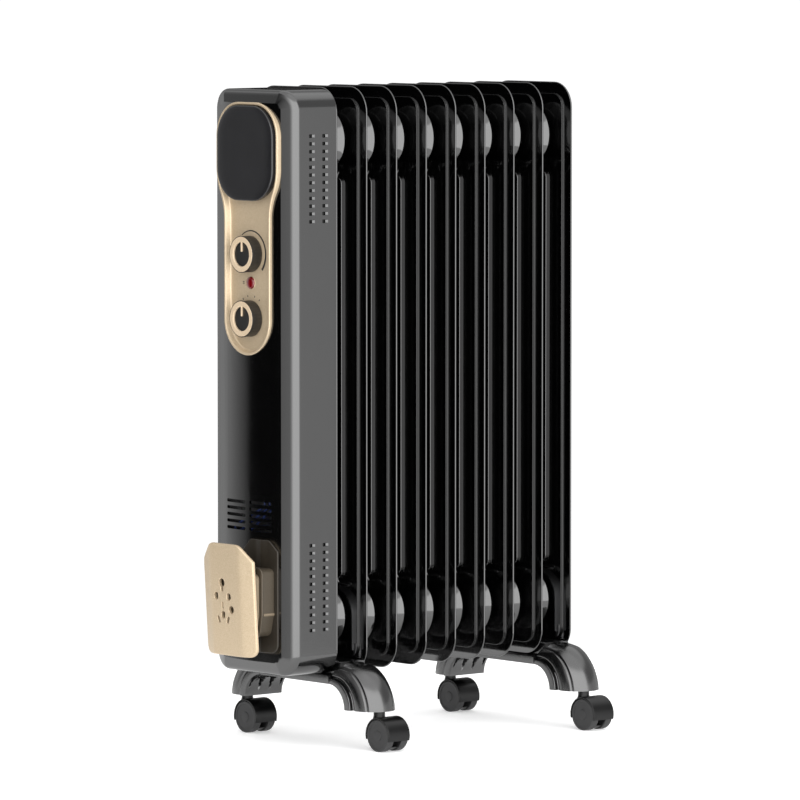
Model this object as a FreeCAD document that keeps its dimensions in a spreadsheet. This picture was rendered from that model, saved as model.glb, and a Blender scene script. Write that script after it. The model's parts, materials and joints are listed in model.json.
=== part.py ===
"""Oil filled radiator heater: nine oil filled fins, a control case, a cord winder and two legs on
twin-wheel casters.

Frame: +Z up from the floor, -Y towards the control case, X across the heater.  Millimetres.
"""
import FreeCAD
import Part
import Sketcher
import math
import os
import re

Vector = FreeCAD.Vector
Rotation = FreeCAD.Rotation
doc = FreeCAD.newDocument("OilRadiator")

# ------------------------------------------------------------------ driving dimensions
DIMENSIONS = [
    ("fin_count", 9, "fins along the heater"),
    ("fin_pitch", 36.735, "spacing of the fins"),
    ("fin_first", -107.7, "seam plane of the first fin, in Y"),
    ("fin_wide", 117.4, "width of a fin"),
    ("fin_low", 68.3, "lowest edge of a fin"),
    ("fin_top", 620.0, "highest edge of a fin"),
    ("fin_corner", 24.5, "outline corner radius"),
    ("sheet", 0.8, "thickness of the pressed sheet"),
    ("field_inset", 11.3, "width of the flat rim round the raised field"),
    ("field_rise", 2.8, "height of the raised field over the seam"),
    ("field_corner", 13.2, "corner radius of the raised field"),
    ("bead_x", 30.0, "centre of the shallow bead round each channel"),
    ("bead_half", 13.0, "half width of that bead"),
    ("bead_corner", 9.0, "corner radius of that bead"),
    ("bead_rise", 3.4, "height of the bead over the seam"),
    ("bead_low", 147.5, "lower end of the bead"),
    ("bead_top", 542.2, "upper end of the bead"),
    ("channel_x", 24.3, "centre of each vertical oil channel"),
    ("channel_half", 6.5, "half width of an oil channel"),
    ("channel_rise", 8.4, "height of an oil channel over the seam"),
    ("channel_end", 7.9, "distance from the bead's end to the channel's end"),
    ("neck_foot", 29.4, "radius of a header neck where it leaves the fin"),
    ("neck_waist", 25.4, "radius of the necks where two fins meet"),
    ("neck_sweep", 32.4, "radius of the hollow curve along a neck"),
    ("header_low", 118.0, "height of the lower header"),
    ("header_top", 569.0, "height of the upper header"),
    ("end_dome", 8.0, "height of the closed header on the last fin"),
    ("case_half", 59.0, "half width of the control case"),
    ("case_low", 69.5, "lowest face of the case"),
    ("case_top", 618.0, "highest face of the case"),
    ("case_front", -168.6, "foremost line of the crowned case front"),
    ("case_back", -108.5, "rear rim of the case"),
    ("case_crown", 218.0, "radius of the crowned front"),
    ("case_corner", 19.5, "corner radius of the case outline"),
    ("case_edge", 14.5, "rounding round the case front"),
    ("case_wall", 2.2, "wall of the case"),
    ("slot_long", 6.8, "length of a side louvre slot"),
    ("slot_high", 3.2, "height of a louvre slot"),
    ("slot_pitch", 7.25, "spacing of the side louvres"),
    ("slot_rows", 12, "louvres in one group"),
    ("slot_first_y", -138.3, "centre of the front column of louvres"),
    ("slot_second_y", -122.25, "centre of the rear column of louvres"),
    ("slot_upper_z", 575.2, "highest louvre of the upper group"),
    ("slot_lower_z", 192.5, "highest louvre of the lower group"),
    ("grille_rows", 5, "slots in the front grille"),
    ("grille_top", 231.0, "highest slot of the front grille"),
    ("grille_pitch", 6.3, "spacing of the front grille"),
    ("grille_slot", 30.0, "length of a front grille slot"),
    ("grille_gap", 6.0, "bar between the two grille slots of a row"),
    ("panel_rim", -169.0, "front plane of the control panel's rim"),
    ("panel_floor", -163.6, "recessed floor of the control panel"),
    ("panel_half", 33.7, "half width of the straight part of the panel"),
    ("panel_head", 45.0, "half width of the panel's head"),
    ("panel_low", 402.7, "centre of the round lower end"),
    ("panel_neck", 497.0, "start of the curve to the head"),
    ("panel_shoulder", 545.0, "end of the curve to the head"),
    ("panel_top", 606.0, "top of the panel"),
    ("panel_skin", 2.0, "thickness of the panel"),
    ("panel_flange", 1.6, "thickness of the panel's flange over the case"),
    ("panel_lip", 2.9, "width of the panel's rim"),
    ("panel_fit", 2.0, "inset of the case's window from the panel's outline"),
    ("panel_corner", 32.0, "corner radius of the panel's head"),
    ("seat_gap", 0.3, "gap between the panel and the case round it"),
    ("badge_half", 41.0, "half width of the plain dark plate"),
    ("badge_low", 514.0, "lower edge of the dark plate"),
    ("badge_top", 603.0, "upper edge of the dark plate"),
    ("badge_corner", 30.0, "corner radius of the dark plate"),
    ("badge_face", -172.1, "front face of the dark plate"),
    ("badge_thick", 5.0, "thickness of the dark plate"),
    ("dial_radius", 17.25, "radius of a dial"),
    ("dial_disc", 11.5, "radius of the disc inside the dial's ring"),
    ("dial_face", -175.9, "front face of a dial's ring"),
    ("dial_gap", 0.4, "gap between dial and panel"),
    ("ring_thick", 3.0, "thickness of a dial's ring"),
    ("disc_sink", 1.0, "depth of the disc below the ring"),
    ("thermostat_z", 464.0, "height of the thermostat dial"),
    ("selector_z", 403.5, "height of the power dial"),
    ("lamp_z", 437.0, "height of the indicator lamp"),
    ("lamp_radius", 5.75, "radius of the indicator lens"),
    ("spindle", 3.0, "radius of a dial spindle"),
    ("running", 0.05, "radial clearance of a turning shaft"),
    ("shield_front", -129.2, "front face of the heat shield"),
    ("shield_thick", 1.0, "thickness of the heat shield"),
    ("boss", 4.2, "radius of the case's screw bosses"),
    ("screw", 1.5, "radius of the case screws"),
    ("screw_head", 3.2, "radius of a case screw's head"),
    ("screw_x", 46.0, "case screws from the middle"),
    ("screw_low", 90.0, "height of the lower case screws"),
    ("screw_high", 598.0, "height of the upper case screws"),
    ("switch_z", 340.0, "height of the thermal cut-out and of the tilt switch's pin"),
    ("switch_pin", 1.5, "radius of the tilt switch's pin"),
    ("bob_drop", 40.0, "depth of the pendulum's bob below the pin"),
    ("bob_radius", 9.0, "radius of the pendulum's bob"),
    ("block_z", 246.0, "height of the terminal block"),
    ("block_half", 10.0, "half height of the terminal block"),
    ("winder_screw", 1.75, "radius of the winder screws"),
    ("winder_screw_x", 20.0, "winder screws from the middle"),
    ("winder_screw_z", 139.0, "height of the winder screws"),
    ("element_tube", 4.0, "radius of a heating tube"),
    ("element_half", 12.0, "half spacing of a tube's two runs"),
    ("element_pair", 9.0, "height of each tube over or under the header axis"),
    ("element_end", 160.0, "rear end of the straight heating runs"),
    ("gland_z", 130.0, "height of the cord inlet"),
    ("gland_y", -147.0, "cord inlet along the case"),
    ("cord_bore", 3.6, "bore of the cord inlet"),
    ("winder_x", -1.7, "middle of the winder's front plate"),
    ("winder_half", 36.5, "half width of the winder's front plate"),
    ("winder_flat", 21.0, "half width of the plate's flat middle"),
    ("winder_bend", 5.4, "depth of the plate's bent margins"),
    ("winder_low", 87.5, "lower edge of the front plate"),
    ("winder_top", 193.5, "upper edge of the front plate"),
    ("winder_face", -193.8, "front of the plate at its middle height"),
    ("winder_thick", 3.0, "thickness of the front plate"),
    ("winder_tilt", 3.4, "lean of the front plate, in degrees"),
    ("winder_chamfer", 16.0, "cut across the upper corners"),
    ("back_half", 41.5, "half width of the winder's back plate"),
    ("back_low", 91.0, "lower edge of the back plate"),
    ("back_corner", 8.0, "radius of the back plate's lower corners"),
    ("back_shoulder", 187.0, "upper edge of the back plate beside its ear"),
    ("back_top", 197.0, "top of the back plate's ear"),
    ("ear_x", 18.0, "middle of the back plate's ear"),
    ("ear_half", 12.5, "half width of the ear's top"),
    ("back_thick", 2.5, "thickness of the back plate"),
    ("drum_seam", -183.0, "joint between the two halves of the drum"),
    ("drum_low", 107.0, "underside of the drum's rear half"),
    ("drum_high", 171.0, "top of the drum's rear half"),
    ("drum_step", 4.5, "step from the rear half of the drum to the front half"),
    ("drum_corner", 9.0, "corner radius of the drum"),
    ("drum_rear_half", 37.0, "half width of the rear half"),
    ("drum_front_half", 35.6, "half width of the front half"),
    ("drum_wall", 2.5, "wall of the hollow drum"),
    ("drum_floor", -176.0, "bottom of the drum's hollow"),
    ("leg_half", 23.0, "half length of a leg's arch"),
    ("leg_core", 20.6, "half length of a leg's body"),
    ("leg_under", 59.5, "underside of a leg's beam"),
    ("leg_ridge", 80.4, "top of the ridge between two fins"),
    ("leg_foot", 37.0, "underside of a foot"),
    ("leg_tip", 109.5, "outer end of a foot"),
    ("leg_inner", 73.5, "inner side of a foot"),
    ("leg_arch", 23.0, "radius of the inner arch"),
    ("leg_shoulder", 80.0, "start of the outer curve"),
    ("leg_curve", 50.0, "radius of the outer curve"),
    ("leg_nose", 20.0, "rounding of a foot seen from above"),
    ("leg_band", 8.6, "width of the raised band along the arch"),
    ("strap_radius", 25.9, "inner radius of a leg strap over the neck"),
    ("strap_wide", 10.0, "width of a leg strap"),
    ("strap_thick", 1.2, "thickness of a leg strap"),
    ("stud", 2.5, "radius of the strap's studs"),
    ("caster_x", 98.1, "swivel axis of a caster from the middle"),
    ("caster_trail", 12.1, "wheel axle behind the swivel axis"),
    ("wheel_radius", 15.2, "radius of a caster wheel"),
    ("wheel_wide", 8.5, "width of one wheel"),
    ("wheel_inner", 4.5, "inner face of a wheel from the middle"),
    ("hood_radius", 17.2, "outer radius of the hood"),
    ("hood_room", 15.6, "radius of the space for the wheels"),
    ("hood_skirt", 4.4, "reach of the hood below the axle"),
    ("web_half", 4.2, "half width of the web between the wheels"),
    ("web_radius", 14.0, "radius of the web"),
    ("stem", 3.5, "radius of the swivel stem"),
    ("stem_top", 54.0, "top of the swivel stem"),
    ("neck_top", 36.6, "top of the hood's neck"),
    ("axle", 2.0, "radius of the wheel axle"),
]

sheet = doc.addObject("Spreadsheet::Sheet", "Dims")
for row, (alias, amount, meaning) in enumerate(DIMENSIONS, 1):
    sheet.set(f"A{row}", alias)
    sheet.set(f"B{row}", str(amount))
    sheet.set(f"C{row}", meaning)
    sheet.setAlias(f"B{row}", alias)
doc.recompute()
ALIASES = {alias for alias, _, _ in DIMENSIONS}


def dim(alias):
    """The present value of one cell."""
    return float(sheet.get(alias))


def linked(text):
    """An expression with every alias pointed at the sheet."""
    return re.sub(r"[a-z_]+", lambda word: "Dims." + word[0] if word[0] in ALIASES else word[0], text)


def number(text):
    """The present value of an expression."""
    return float(sheet.evalExpression(linked(text)))


# ------------------------------------------------------------------ building blocks
TURNS = {
    "X": Rotation(Vector(0, 1, 0), 90),
    "Y": Rotation(Vector(1, 0, 0), -90),
    "Z": Rotation(),
}


def at(obj, x="0", y="0", z="0", turn=None):
    """Bind an object's place to three expressions."""
    if turn is not None:
        obj.Placement = FreeCAD.Placement(Vector(), turn)
    for letter, text in zip("xyz", (x, y, z)):
        obj.setExpression("Placement.Base." + letter, linked(text))
    return obj


def box(name, low, high):
    """A box between two corners, each given as three expressions."""
    obj = doc.addObject("Part::Box", name)
    for side, a, b in zip(("Length", "Width", "Height"), low, high):
        obj.setExpression(side, linked(f"({b}) - ({a})"))
    return at(obj, *low)


def rod(name, radius, base, length, axis="Y"):
    """A cylinder that starts at base and runs along +axis."""
    obj = doc.addObject("Part::Cylinder", name)
    obj.setExpression("Radius", linked(radius))
    obj.setExpression("Height", linked(length))
    return at(obj, *base, turn=TURNS[axis])


def ring(name, major, minor, base, axis="Y", angle=360):
    """A torus, or a bend of one, about an axis."""
    obj = doc.addObject("Part::Torus", name)
    obj.setExpression("Radius1", linked(major))
    obj.setExpression("Radius2", linked(minor))
    obj.Angle3 = angle
    return at(obj, *base, turn=TURNS[axis])


def fuse(name, *shapes):
    obj = doc.addObject("Part::MultiFuse", name)
    obj.Shapes = list(shapes)
    return obj


def common(name, *shapes):
    obj = doc.addObject("Part::MultiCommon", name)
    obj.Shapes = list(shapes)
    return obj


def cut(name, base, *tools):
    obj = doc.addObject("Part::Cut", name)
    obj.Base = base
    obj.Tool = tools[0] if len(tools) == 1 else fuse(name + "_tools", *tools)
    return obj


def group(name, *shapes):
    """Separate solids that share one node."""
    obj = doc.addObject("Part::Compound", name)
    obj.Links = list(shapes)
    return obj


def rounded(name, base, radius, wanted):
    """Fillet the edges of base that wanted(edge) picks."""
    doc.recompute()
    obj = doc.addObject("Part::Fillet", name)
    obj.Base = base
    size = number(radius)
    picked = [i for i, edge in enumerate(base.Shape.Edges, 1) if wanted(edge)]
    obj.Edges = [(i, size, size) for i in picked]
    return obj


def runs_along(axis):
    """A test for straight edges that run along X, Y or Z."""
    def test(edge):
        if not isinstance(edge.Curve, Part.Line):
            return False
        return abs(getattr(edge.Curve.Direction, axis.lower())) > 0.999
    return test


def slab(name, low, high, corner, axis="Y"):
    """A box with its four edges along axis rounded."""
    return rounded(name, box(name + "_block", low, high), corner, runs_along(axis))


def mirrored(name, source, normal):
    obj = doc.addObject("Part::Mirroring", name)
    obj.Source = source
    obj.Normal = normal
    return obj


def fixed(name, shape, place=Vector()):
    """A shape made with Part's own functions, placed after it is set."""
    obj = doc.addObject("Part::Feature", name)
    obj.Shape = shape
    obj.Placement = FreeCAD.Placement(place, Rotation())
    return obj


def origin_plane(body, role):
    return next(item for item in body.Origin.OriginFeatures if item.Role == role)


def outline_sketch(body, name, role, corners, offset="0"):
    """A closed, fully constrained sketch on one of the body's planes.

    Each corner is (x, y) or (x, y, radius): the last form joins it to the corner before by an arc
    that turns left, or right where the radius is given as a negative expression.
    """
    sketch = body.newObject("Sketcher::SketchObject", name)
    sketch.AttachmentSupport = [(origin_plane(body, role), "")]
    sketch.MapMode = "FlatFace"
    sketch.setExpression("AttachmentOffset.Base.z", linked(offset))
    spots = [Vector(number(c[0]), number(c[1]), 0) for c in corners]
    ends = []
    for i, corner in enumerate(corners):
        start, stop = spots[i - 1], spots[i]
        if len(corner) == 2:
            sketch.addGeometry(Part.LineSegment(start, stop))
            ends.append((1, 2))
            continue
        bend = number(corner[2])
        radius = abs(bend)
        chord = stop - start
        reach = math.sqrt(radius ** 2 - (chord.Length / 2) ** 2)
        side = Vector(-chord.y, chord.x, 0).normalize() * math.copysign(reach, bend)
        centre = (start + stop) / 2 + side
        first, last = (start, stop) if bend > 0 else (stop, start)
        angles = [math.atan2(p.y - centre.y, p.x - centre.x) for p in (first, last)]
        circle = Part.Circle(centre, Vector(0, 0, 1), radius)
        sketch.addGeometry(Part.ArcOfCircle(circle, angles[0], angles[1]))
        ends.append((1, 2) if bend > 0 else (2, 1))
    for i, corner in enumerate(corners):
        following = (i + 1) % len(corners)
        sketch.addConstraint(Sketcher.Constraint("Coincident", i, ends[i][1], following, ends[following][0]))
        for kind, text in (("DistanceX", corner[0]), ("DistanceY", corner[1])):
            size = number(text)
            index = sketch.addConstraint(Sketcher.Constraint(kind, -1, 1, i, ends[i][1], size))
            sketch.setExpression(f"Constraints[{index}]", linked(text))
        if len(corner) == 3:
            index = sketch.addConstraint(Sketcher.Constraint("Radius", i, abs(number(corner[2]))))
            sketch.setExpression(f"Constraints[{index}]", linked(corner[2].lstrip("-")))
    return sketch


def body_of(name):
    return doc.addObject("PartDesign::Body", name)


def pad(body, name, sketch, length):
    feature = body.newObject("PartDesign::Pad", name)
    feature.Profile = sketch
    feature.setExpression("Length", linked(length))
    doc.recompute()
    return feature


def turned(body, name, sketch):
    """A revolution about the sketch's horizontal axis."""
    feature = body.newObject("PartDesign::Revolution", name)
    feature.Profile = sketch
    feature.ReferenceAxis = (sketch, ["H_Axis"])
    feature.Angle = 360
    doc.recompute()
    return feature


def turned_body(name, profile, x="0", y="0", z="0"):
    """A body turned about an axis along Y; profile corners are (y, radius)."""
    body = body_of(name)
    turned(body, name + "_turn", outline_sketch(body, name + "_profile", "YZ_Plane", profile))
    return at(body, x, y, z)


# ------------------------------------------------------------------ list of nodes
NODES = {}


def node(name, obj):
    """Register a finished sub-part under the name of its file."""
    obj.Label = name
    NODES[name] = obj
    return obj


# ------------------------------------------------------------------ fins
def pressed_form(name, skin, necks):
    """The front of a fin, from its seam at y = 0 out to -y, skin thinner all round.

    necks says whether the headers go on to the next fin or end in a closed dome.
    """
    inset = f"field_inset + {skin}"
    field = slab(
        name + "_field",
        (f"{inset} - fin_wide / 2", f"{skin} - field_rise", f"fin_low + {inset}"),
        (f"fin_wide / 2 - ({inset})", "0", f"fin_top - ({inset})"),
        f"field_corner - {skin}",
    )
    parts = [field]
    for side, sign in (("left", "-1"), ("right", "1")):
        bead_half = f"(bead_half - {skin})"
        parts.append(slab(
            f"{name}_bead_{side}",
            (f"{sign} * bead_x - {bead_half}", f"{skin} - bead_rise", f"bead_low + {skin}"),
            (f"{sign} * bead_x + {bead_half}", "0", f"bead_top - {skin}"),
            f"bead_corner - {skin}",
        ))
        channel_half = f"(channel_half - {skin})"
        parts.append(slab(
            f"{name}_channel_{side}",
            (f"{sign} * channel_x - {channel_half}", f"{skin} - channel_rise",
             f"bead_low + channel_end + {skin}"),
            (f"{sign} * channel_x + {channel_half}", "0", f"bead_top - channel_end - {skin}"),
            f"channel_half - {skin} - 0.01",
        ))
    for level in ("header_low", "header_top"):
        if not necks:
            reach = f"(end_dome + field_rise - {skin})"
            parts.append(rod(f"{name}_{level}_dome", f"neck_foot - {skin}",
                             ("0", f"-{reach}", level), reach))
            continue
        parts.append(turned_body(f"{name}_{level}_neck", [
            ("0", "0"),
            ("-fin_pitch / 2", "0"),
            ("-fin_pitch / 2", f"neck_waist - {skin}"),
            ("-field_rise", f"neck_foot - {skin}", "neck_sweep"),
            ("0", f"neck_foot - {skin}"),
        ], z=level))
    return fuse(name, *parts)


def half_shell(name, necks=True):
    """One pressed sheet of a fin: a flat rim round a hollow form."""
    flange = slab(
        name + "_flange",
        ("-fin_wide / 2", "-sheet", "fin_low"),
        ("fin_wide / 2", "0", "fin_top"),
        "fin_corner",
    )
    outer = fuse(name + "_outer", flange, pressed_form(name + "_out", "0", necks))
    return cut(name, outer, pressed_form(name + "_in", "sheet", necks))


front_sheet = half_shell("front_sheet")
rear_sheet = mirrored("rear_sheet", front_sheet, Vector(0, 1, 0))
end_sheet = mirrored("end_sheet", half_shell("closed_sheet", necks=False), Vector(0, 1, 0))
doc.recompute()
fin_count = int(dim("fin_count"))
for index in range(fin_count):
    back = end_sheet if index == fin_count - 1 else rear_sheet
    fin = doc.addObject("Part::Feature", f"fin_shape_{index + 1}")
    fin.Shape = Part.makeCompound([front_sheet.Shape, back.Shape])
    node(f"fin_{index + 1}", at(fin, y=f"fin_first + {index} * fin_pitch"))

cap_front = "fin_first - fin_pitch / 2"
node("upper_header_cap", rod("upper_header_cap", "neck_waist", ("0", f"{cap_front} - 2", "header_top"), "2"))

# ------------------------------------------------------------------ heating elements
flange_plate = rod("flange_plate", "neck_waist", ("0", f"{cap_front} - 2", "header_low"), "2")
tubes = []
holes = []
for level, sign in (("lower", "-1"), ("upper", "1")):
    height = f"header_low + {sign} * element_pair"
    front_end = f"{cap_front} - 14"
    pieces = []
    for side, way in (("left", "-1"), ("right", "1")):
        pieces.append(rod(f"element_{level}_{side}", "element_tube",
                          (f"{way} * element_half", front_end, height), f"element_end - ({front_end})"))
        holes.append(rod(f"element_hole_{level}_{side}", "element_tube",
                         (f"{way} * element_half", f"{cap_front} - 3", height), "4"))
    pieces.append(ring(f"element_bend_{level}", "element_half", "element_tube",
                       ("0", "element_end", height), "Z", 180))
    tubes.append(fuse(f"element_{level}", *pieces))
node("heating_elements", group("heating_elements", *tubes))
node("element_flange", cut("element_flange", flange_plate, *holes))


# ------------------------------------------------------------------ control case
def case_form(name, skin):
    """The case's outer form, or its hollow when skin is the wall."""
    block = slab(
        name + "_outline",
        (f"{skin} - case_half", "case_front - 5", f"case_low + {skin}"),
        (f"case_half - {skin}", "case_back + 5", f"case_top - {skin}"),
        f"case_corner - {skin}",
    )
    crown = rod(name + "_crown", f"case_crown - {skin}", ("0", "case_front + case_crown", "0"),
                "case_top + 50", "Z")
    keep = box(name + "_keep", ("-case_half - 5", "case_front - 5", "0"),
               ("case_half + 5", "case_back" if skin == "0" else "case_back + 1", "case_top + 50"))
    form = common(name + "_form", block, crown, keep)
    doc.recompute()
    back = form.Shape.BoundBox.YMax

    def front_edge(edge):
        if edge.BoundBox.YMax > back - 1:
            return False
        return not runs_along("Y")(edge)
    return rounded(name, form, f"case_edge - {skin}", front_edge)


case_outer = case_form("case_outer", "0")
case_inner = case_form("case_inner", "case_wall")

louvres = []
for group_name, first_z in (("upper", "slot_upper_z"), ("lower", "slot_lower_z")):
    for column in ("slot_first_y", "slot_second_y"):
        for row in range(int(dim("slot_rows"))):
            height = f"({first_z} - {row} * slot_pitch)"
            louvres.append(box(
                f"louvre_{group_name}_{column}_{row}",
                ("-case_half - 5", f"{column} - slot_long / 2", f"{height} - slot_high / 2"),
                ("case_half + 5", f"{column} + slot_long / 2", f"{height} + slot_high / 2"),
            ))
for row in range(int(dim("grille_rows"))):
    height = f"(grille_top - {row} * grille_pitch)"
    for side, near, far in (("left", "-grille_gap / 2 - grille_slot", "-grille_gap / 2"),
                            ("right", "grille_gap / 2", "grille_gap / 2 + grille_slot")):
        louvres.append(box(
            f"grille_{side}_{row}",
            (near, "case_front - 5", f"{height} - slot_high / 2"),
            (far, "case_front + 15", f"{height} + slot_high / 2"),
        ))


def panel_corners(inset):
    """The panel's outline, anticlockwise, moved inwards by inset."""
    straight = f"(panel_half - {inset})"
    head = f"(panel_head - {inset})"
    top = f"(panel_top - {inset})"
    middle = "((panel_neck + panel_shoulder) / 2)"
    bend = "(((panel_shoulder - panel_neck) ^ 2 / 4 + (panel_head - panel_half) ^ 2 / 4)" \
           " / (panel_head - panel_half))"
    corner = f"(panel_corner - {inset})"
    half_way = f"(({straight} + {head}) / 2)"
    return [
        (straight, "panel_neck"),
        (half_way, middle, f"-{bend}"),
        (head, "panel_shoulder", bend),
        (head, "panel_top - panel_corner"),
        (f"{head} - {corner}", top, corner),
        (f"{corner} - {head}", top),
        (f"-{head}", "panel_top - panel_corner", corner),
        (f"-{head}", "panel_shoulder"),
        (f"-{half_way}", middle, bend),
        (f"-{straight}", "panel_neck", f"-{bend}"),
        (f"-{straight}", "panel_low"),
        ("0", f"panel_low - {straight}", straight),
        (straight, "panel_low", straight),
    ]


def panel_prism(name, inset, front, back):
    body = body_of(name)
    sketch = outline_sketch(body, name + "_outline", "XZ_Plane", panel_corners(inset), f"-({back})")
    pad(body, name + "_pad", sketch, f"({back}) - ({front})")
    return body


case_window = panel_prism("case_window", "panel_fit", "case_front - 5", "case_front + 12")
case_rebate = panel_prism("case_rebate", "(-seat_gap)", "case_front - 5", "panel_rim + panel_flange")
gland_hole = rod("gland_hole", "cord_bore + 4 + running", ("-case_half - 5", "gland_y", "gland_z"), "15", "X")
winder_holes = {}
for part_name in ("case", "back", "drum"):
    winder_holes[part_name] = [
        rod(f"winder_hole_{part_name}_{side}", "winder_screw",
            (f"{sign} * winder_screw_x", "drum_floor + 0.5", "winder_screw_z"), "40")
        for side, sign in (("left", "-1"), ("right", "1"))
    ]
case_hollow = fuse("case_hollow", case_inner, case_window, case_rebate, gland_hole, *louvres,
                   *winder_holes["case"])
screw_points = [("-screw_x", "screw_low"), ("screw_x", "screw_low"),
                ("-screw_x", "screw_high"), ("screw_x", "screw_high")]
bosses = [rod(f"case_boss_{i}", "boss", (x, "case_front + 8.1", z), "shield_front - (case_front + 8.1)")
          for i, (x, z) in enumerate(screw_points)]
pilots = [rod(f"case_pilot_{i}", "screw", (x, "shield_front - 13", z), "20")
          for i, (x, z) in enumerate(screw_points)]
node("case_shell", cut("case_shell", fuse("case_body", cut("case_open", case_outer, case_hollow), *bosses),
                       *pilots))

shield = slab(
    "shield_sheet",
    ("case_wall + 0.5 - case_half", "shield_front", "case_low + case_wall + 0.5"),
    ("case_half - case_wall - 0.5", "shield_front + shield_thick", "case_top - case_wall - 0.5"),
    "case_corner - case_wall - 0.5",
)
shield_hole = rod("shield_hole", "neck_waist - 4", ("0", "shield_front - 5", "header_low"), "10")
shield_pilots = [rod(f"shield_pilot_{i}", "screw", (x, "shield_front - 5", z), "10")
                 for i, (x, z) in enumerate(screw_points)]
node("heat_shield", cut("heat_shield", shield, shield_hole, *shield_pilots))

screws = []
for i, (x, z) in enumerate(screw_points):
    shank = rod(f"case_screw_shank_{i}", "screw", (x, "shield_front - 12", z), "14")
    head = rod(f"case_screw_head_{i}", "screw_head", (x, "shield_front + shield_thick", z), "2.4")
    screws.append(fuse(f"case_screw_{i}", shank, head))
node("case_screws", group("case_screws", *screws))

# ------------------------------------------------------------------ control panel
tray = panel_prism("panel_tray", "0", "panel_rim", "panel_floor + panel_skin")
tray_room = panel_prism("panel_room", "panel_lip", "panel_rim - 1", "panel_floor")
panel_around = cut(
    "panel_around",
    panel_prism("panel_beyond", "-3", "panel_rim - 1", "panel_floor + panel_skin + 1"),
    panel_prism("panel_within", "(panel_fit + seat_gap)", "panel_rim - 2", "panel_floor + panel_skin + 2"),
)
panel_seat = common(
    "panel_seat",
    rod("panel_seat_crown", "case_crown + seat_gap", ("0", "case_front + case_crown", "300"), "400", "Z"),
    box("panel_seat_keep", ("-case_half", "panel_rim + panel_flange", "300"), ("case_half", "-100", "700")),
)
panel_step = common("panel_step", panel_around, panel_seat)
spindle_hole = "spindle + running"
panel_holes = [
    rod("thermostat_hole", spindle_hole, ("0", "panel_rim", "thermostat_z"), "20"),
    rod("selector_hole", spindle_hole, ("0", "panel_rim", "selector_z"), "20"),
    rod("lamp_hole", "lamp_radius - 1 + running", ("0", "panel_rim", "lamp_z"), "20"),
]
node("control_panel", cut("control_panel", tray, tray_room, panel_step, *panel_holes))

badge_block = slab(
    "badge_block",
    ("-badge_half", "badge_face", "badge_low"),
    ("badge_half", "badge_face + badge_thick", "badge_top"),
    "badge_corner",
)
badge_foot = slab(
    "badge_foot",
    ("2 - badge_half", "badge_face + badge_thick", "badge_low + 2"),
    ("badge_half - 2", "panel_floor", "badge_top - 2"),
    "badge_corner - 2",
)
node("badge_plate", fuse("badge_plate", badge_block, badge_foot))

node("indicator_lens", turned_body("indicator_lens", [
    ("0", "0"),
    ("0", "lamp_radius"),
    ("-1.2", "lamp_radius"),
    ("-2.4", "lamp_radius - 1.6", "2"),
    ("-2.4", "0"),
], y="panel_floor", z="lamp_z"))
node("lamp_body", rod("lamp_body", "lamp_radius - 1", ("0", "panel_floor", "lamp_z"), "16"))

# ------------------------------------------------------------------ dials and their switches
for dial, level, body_half, body_deep in (("thermostat", "thermostat_z", "18", "22"),
                                          ("selector", "selector_z", "17", "26")):
    back = "panel_floor - dial_gap"
    ring_back = "dial_face + ring_thick"
    knob_body = rod(f"{dial}_knob_body", "dial_radius", ("0", ring_back, level),
                    f"({back}) - ({ring_back})")
    knob_disc = rod(f"{dial}_knob_disc", "dial_disc", ("0", "dial_face + disc_sink", level),
                    "ring_thick - disc_sink")
    spindle_socket = rod(f"{dial}_socket", "spindle", ("0", f"{back} - 6", level), "10")
    node(f"{dial}_knob", cut(f"{dial}_knob", fuse(f"{dial}_knob_solid", knob_body, knob_disc),
                             spindle_socket))
    ring_solid = rod(f"{dial}_ring_solid", "dial_radius", ("0", "dial_face", level), "ring_thick")
    ring_hole = rod(f"{dial}_ring_hole", "dial_disc", ("0", "dial_face - 1", level), "ring_thick + 2")
    pointer = box(f"{dial}_pointer", ("-0.8", "dial_face", f"{level} + 2.5"),
                  ("0.8", "dial_face + disc_sink", f"{level} + dial_disc + 1"))
    node(f"{dial}_knob_ring", fuse(f"{dial}_knob_ring",
                                   cut(f"{dial}_ring_open", ring_solid, ring_hole), pointer))
    node(f"{dial}_spindle", rod(f"{dial}_spindle", "spindle", ("0", f"{back} - 6", level), "20"))
    switch = slab(
        f"{dial}_switch_block",
        (f"-{body_half}", "panel_floor + panel_skin", f"{level} - {body_half}"),
        (body_half, f"panel_floor + panel_skin + {body_deep}", f"{level} + {body_half}"),
        "4",
    )
    bush = rod(f"{dial}_bush", spindle_hole, ("0", "panel_floor", level), "15")
    node(f"{dial}_body", cut(f"{dial}_body", switch, bush))

# ------------------------------------------------------------------ pieces inside the case
cutout_face = "fin_first - field_rise"
node("thermal_cutout", fuse(
    "thermal_cutout",
    rod("cutout_disc", "8", ("0", f"{cutout_face} - 5", "switch_z"), "5"),
    *[box(f"cutout_tab_{side}", (x, f"{cutout_face} - 9", "switch_z - 4"),
          (f"{x} + 1", f"{cutout_face} - 4", "switch_z + 4")) for side, x in (("left", "-5"), ("right", "4"))],
))
bob_z = "switch_z - bob_drop"
node("tilt_switch", fuse(
    "tilt_switch",
    box("tilt_block", ("-14", "shield_front - 12", "switch_z - 18"), ("14", "shield_front", "switch_z + 16")),
    rod("tilt_pin", "switch_pin", ("0", "shield_front - 24", "switch_z"), "14"),
))
pendulum = fuse(
    "tilt_solid",
    box("tilt_arm", ("-2.5", "shield_front - 18", bob_z), ("2.5", "shield_front - 15", "switch_z")),
    rod("tilt_eye", "4.5", ("0", "shield_front - 20", "switch_z"), "7"),
    rod("tilt_bob", "bob_radius", ("0", "shield_front - 21", bob_z), "8"),
)
node("tilt_pendulum", cut("tilt_pendulum", pendulum, rod(
    "tilt_bore", "switch_pin + running", ("0", "shield_front - 30", "switch_z"), "25")))
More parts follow.
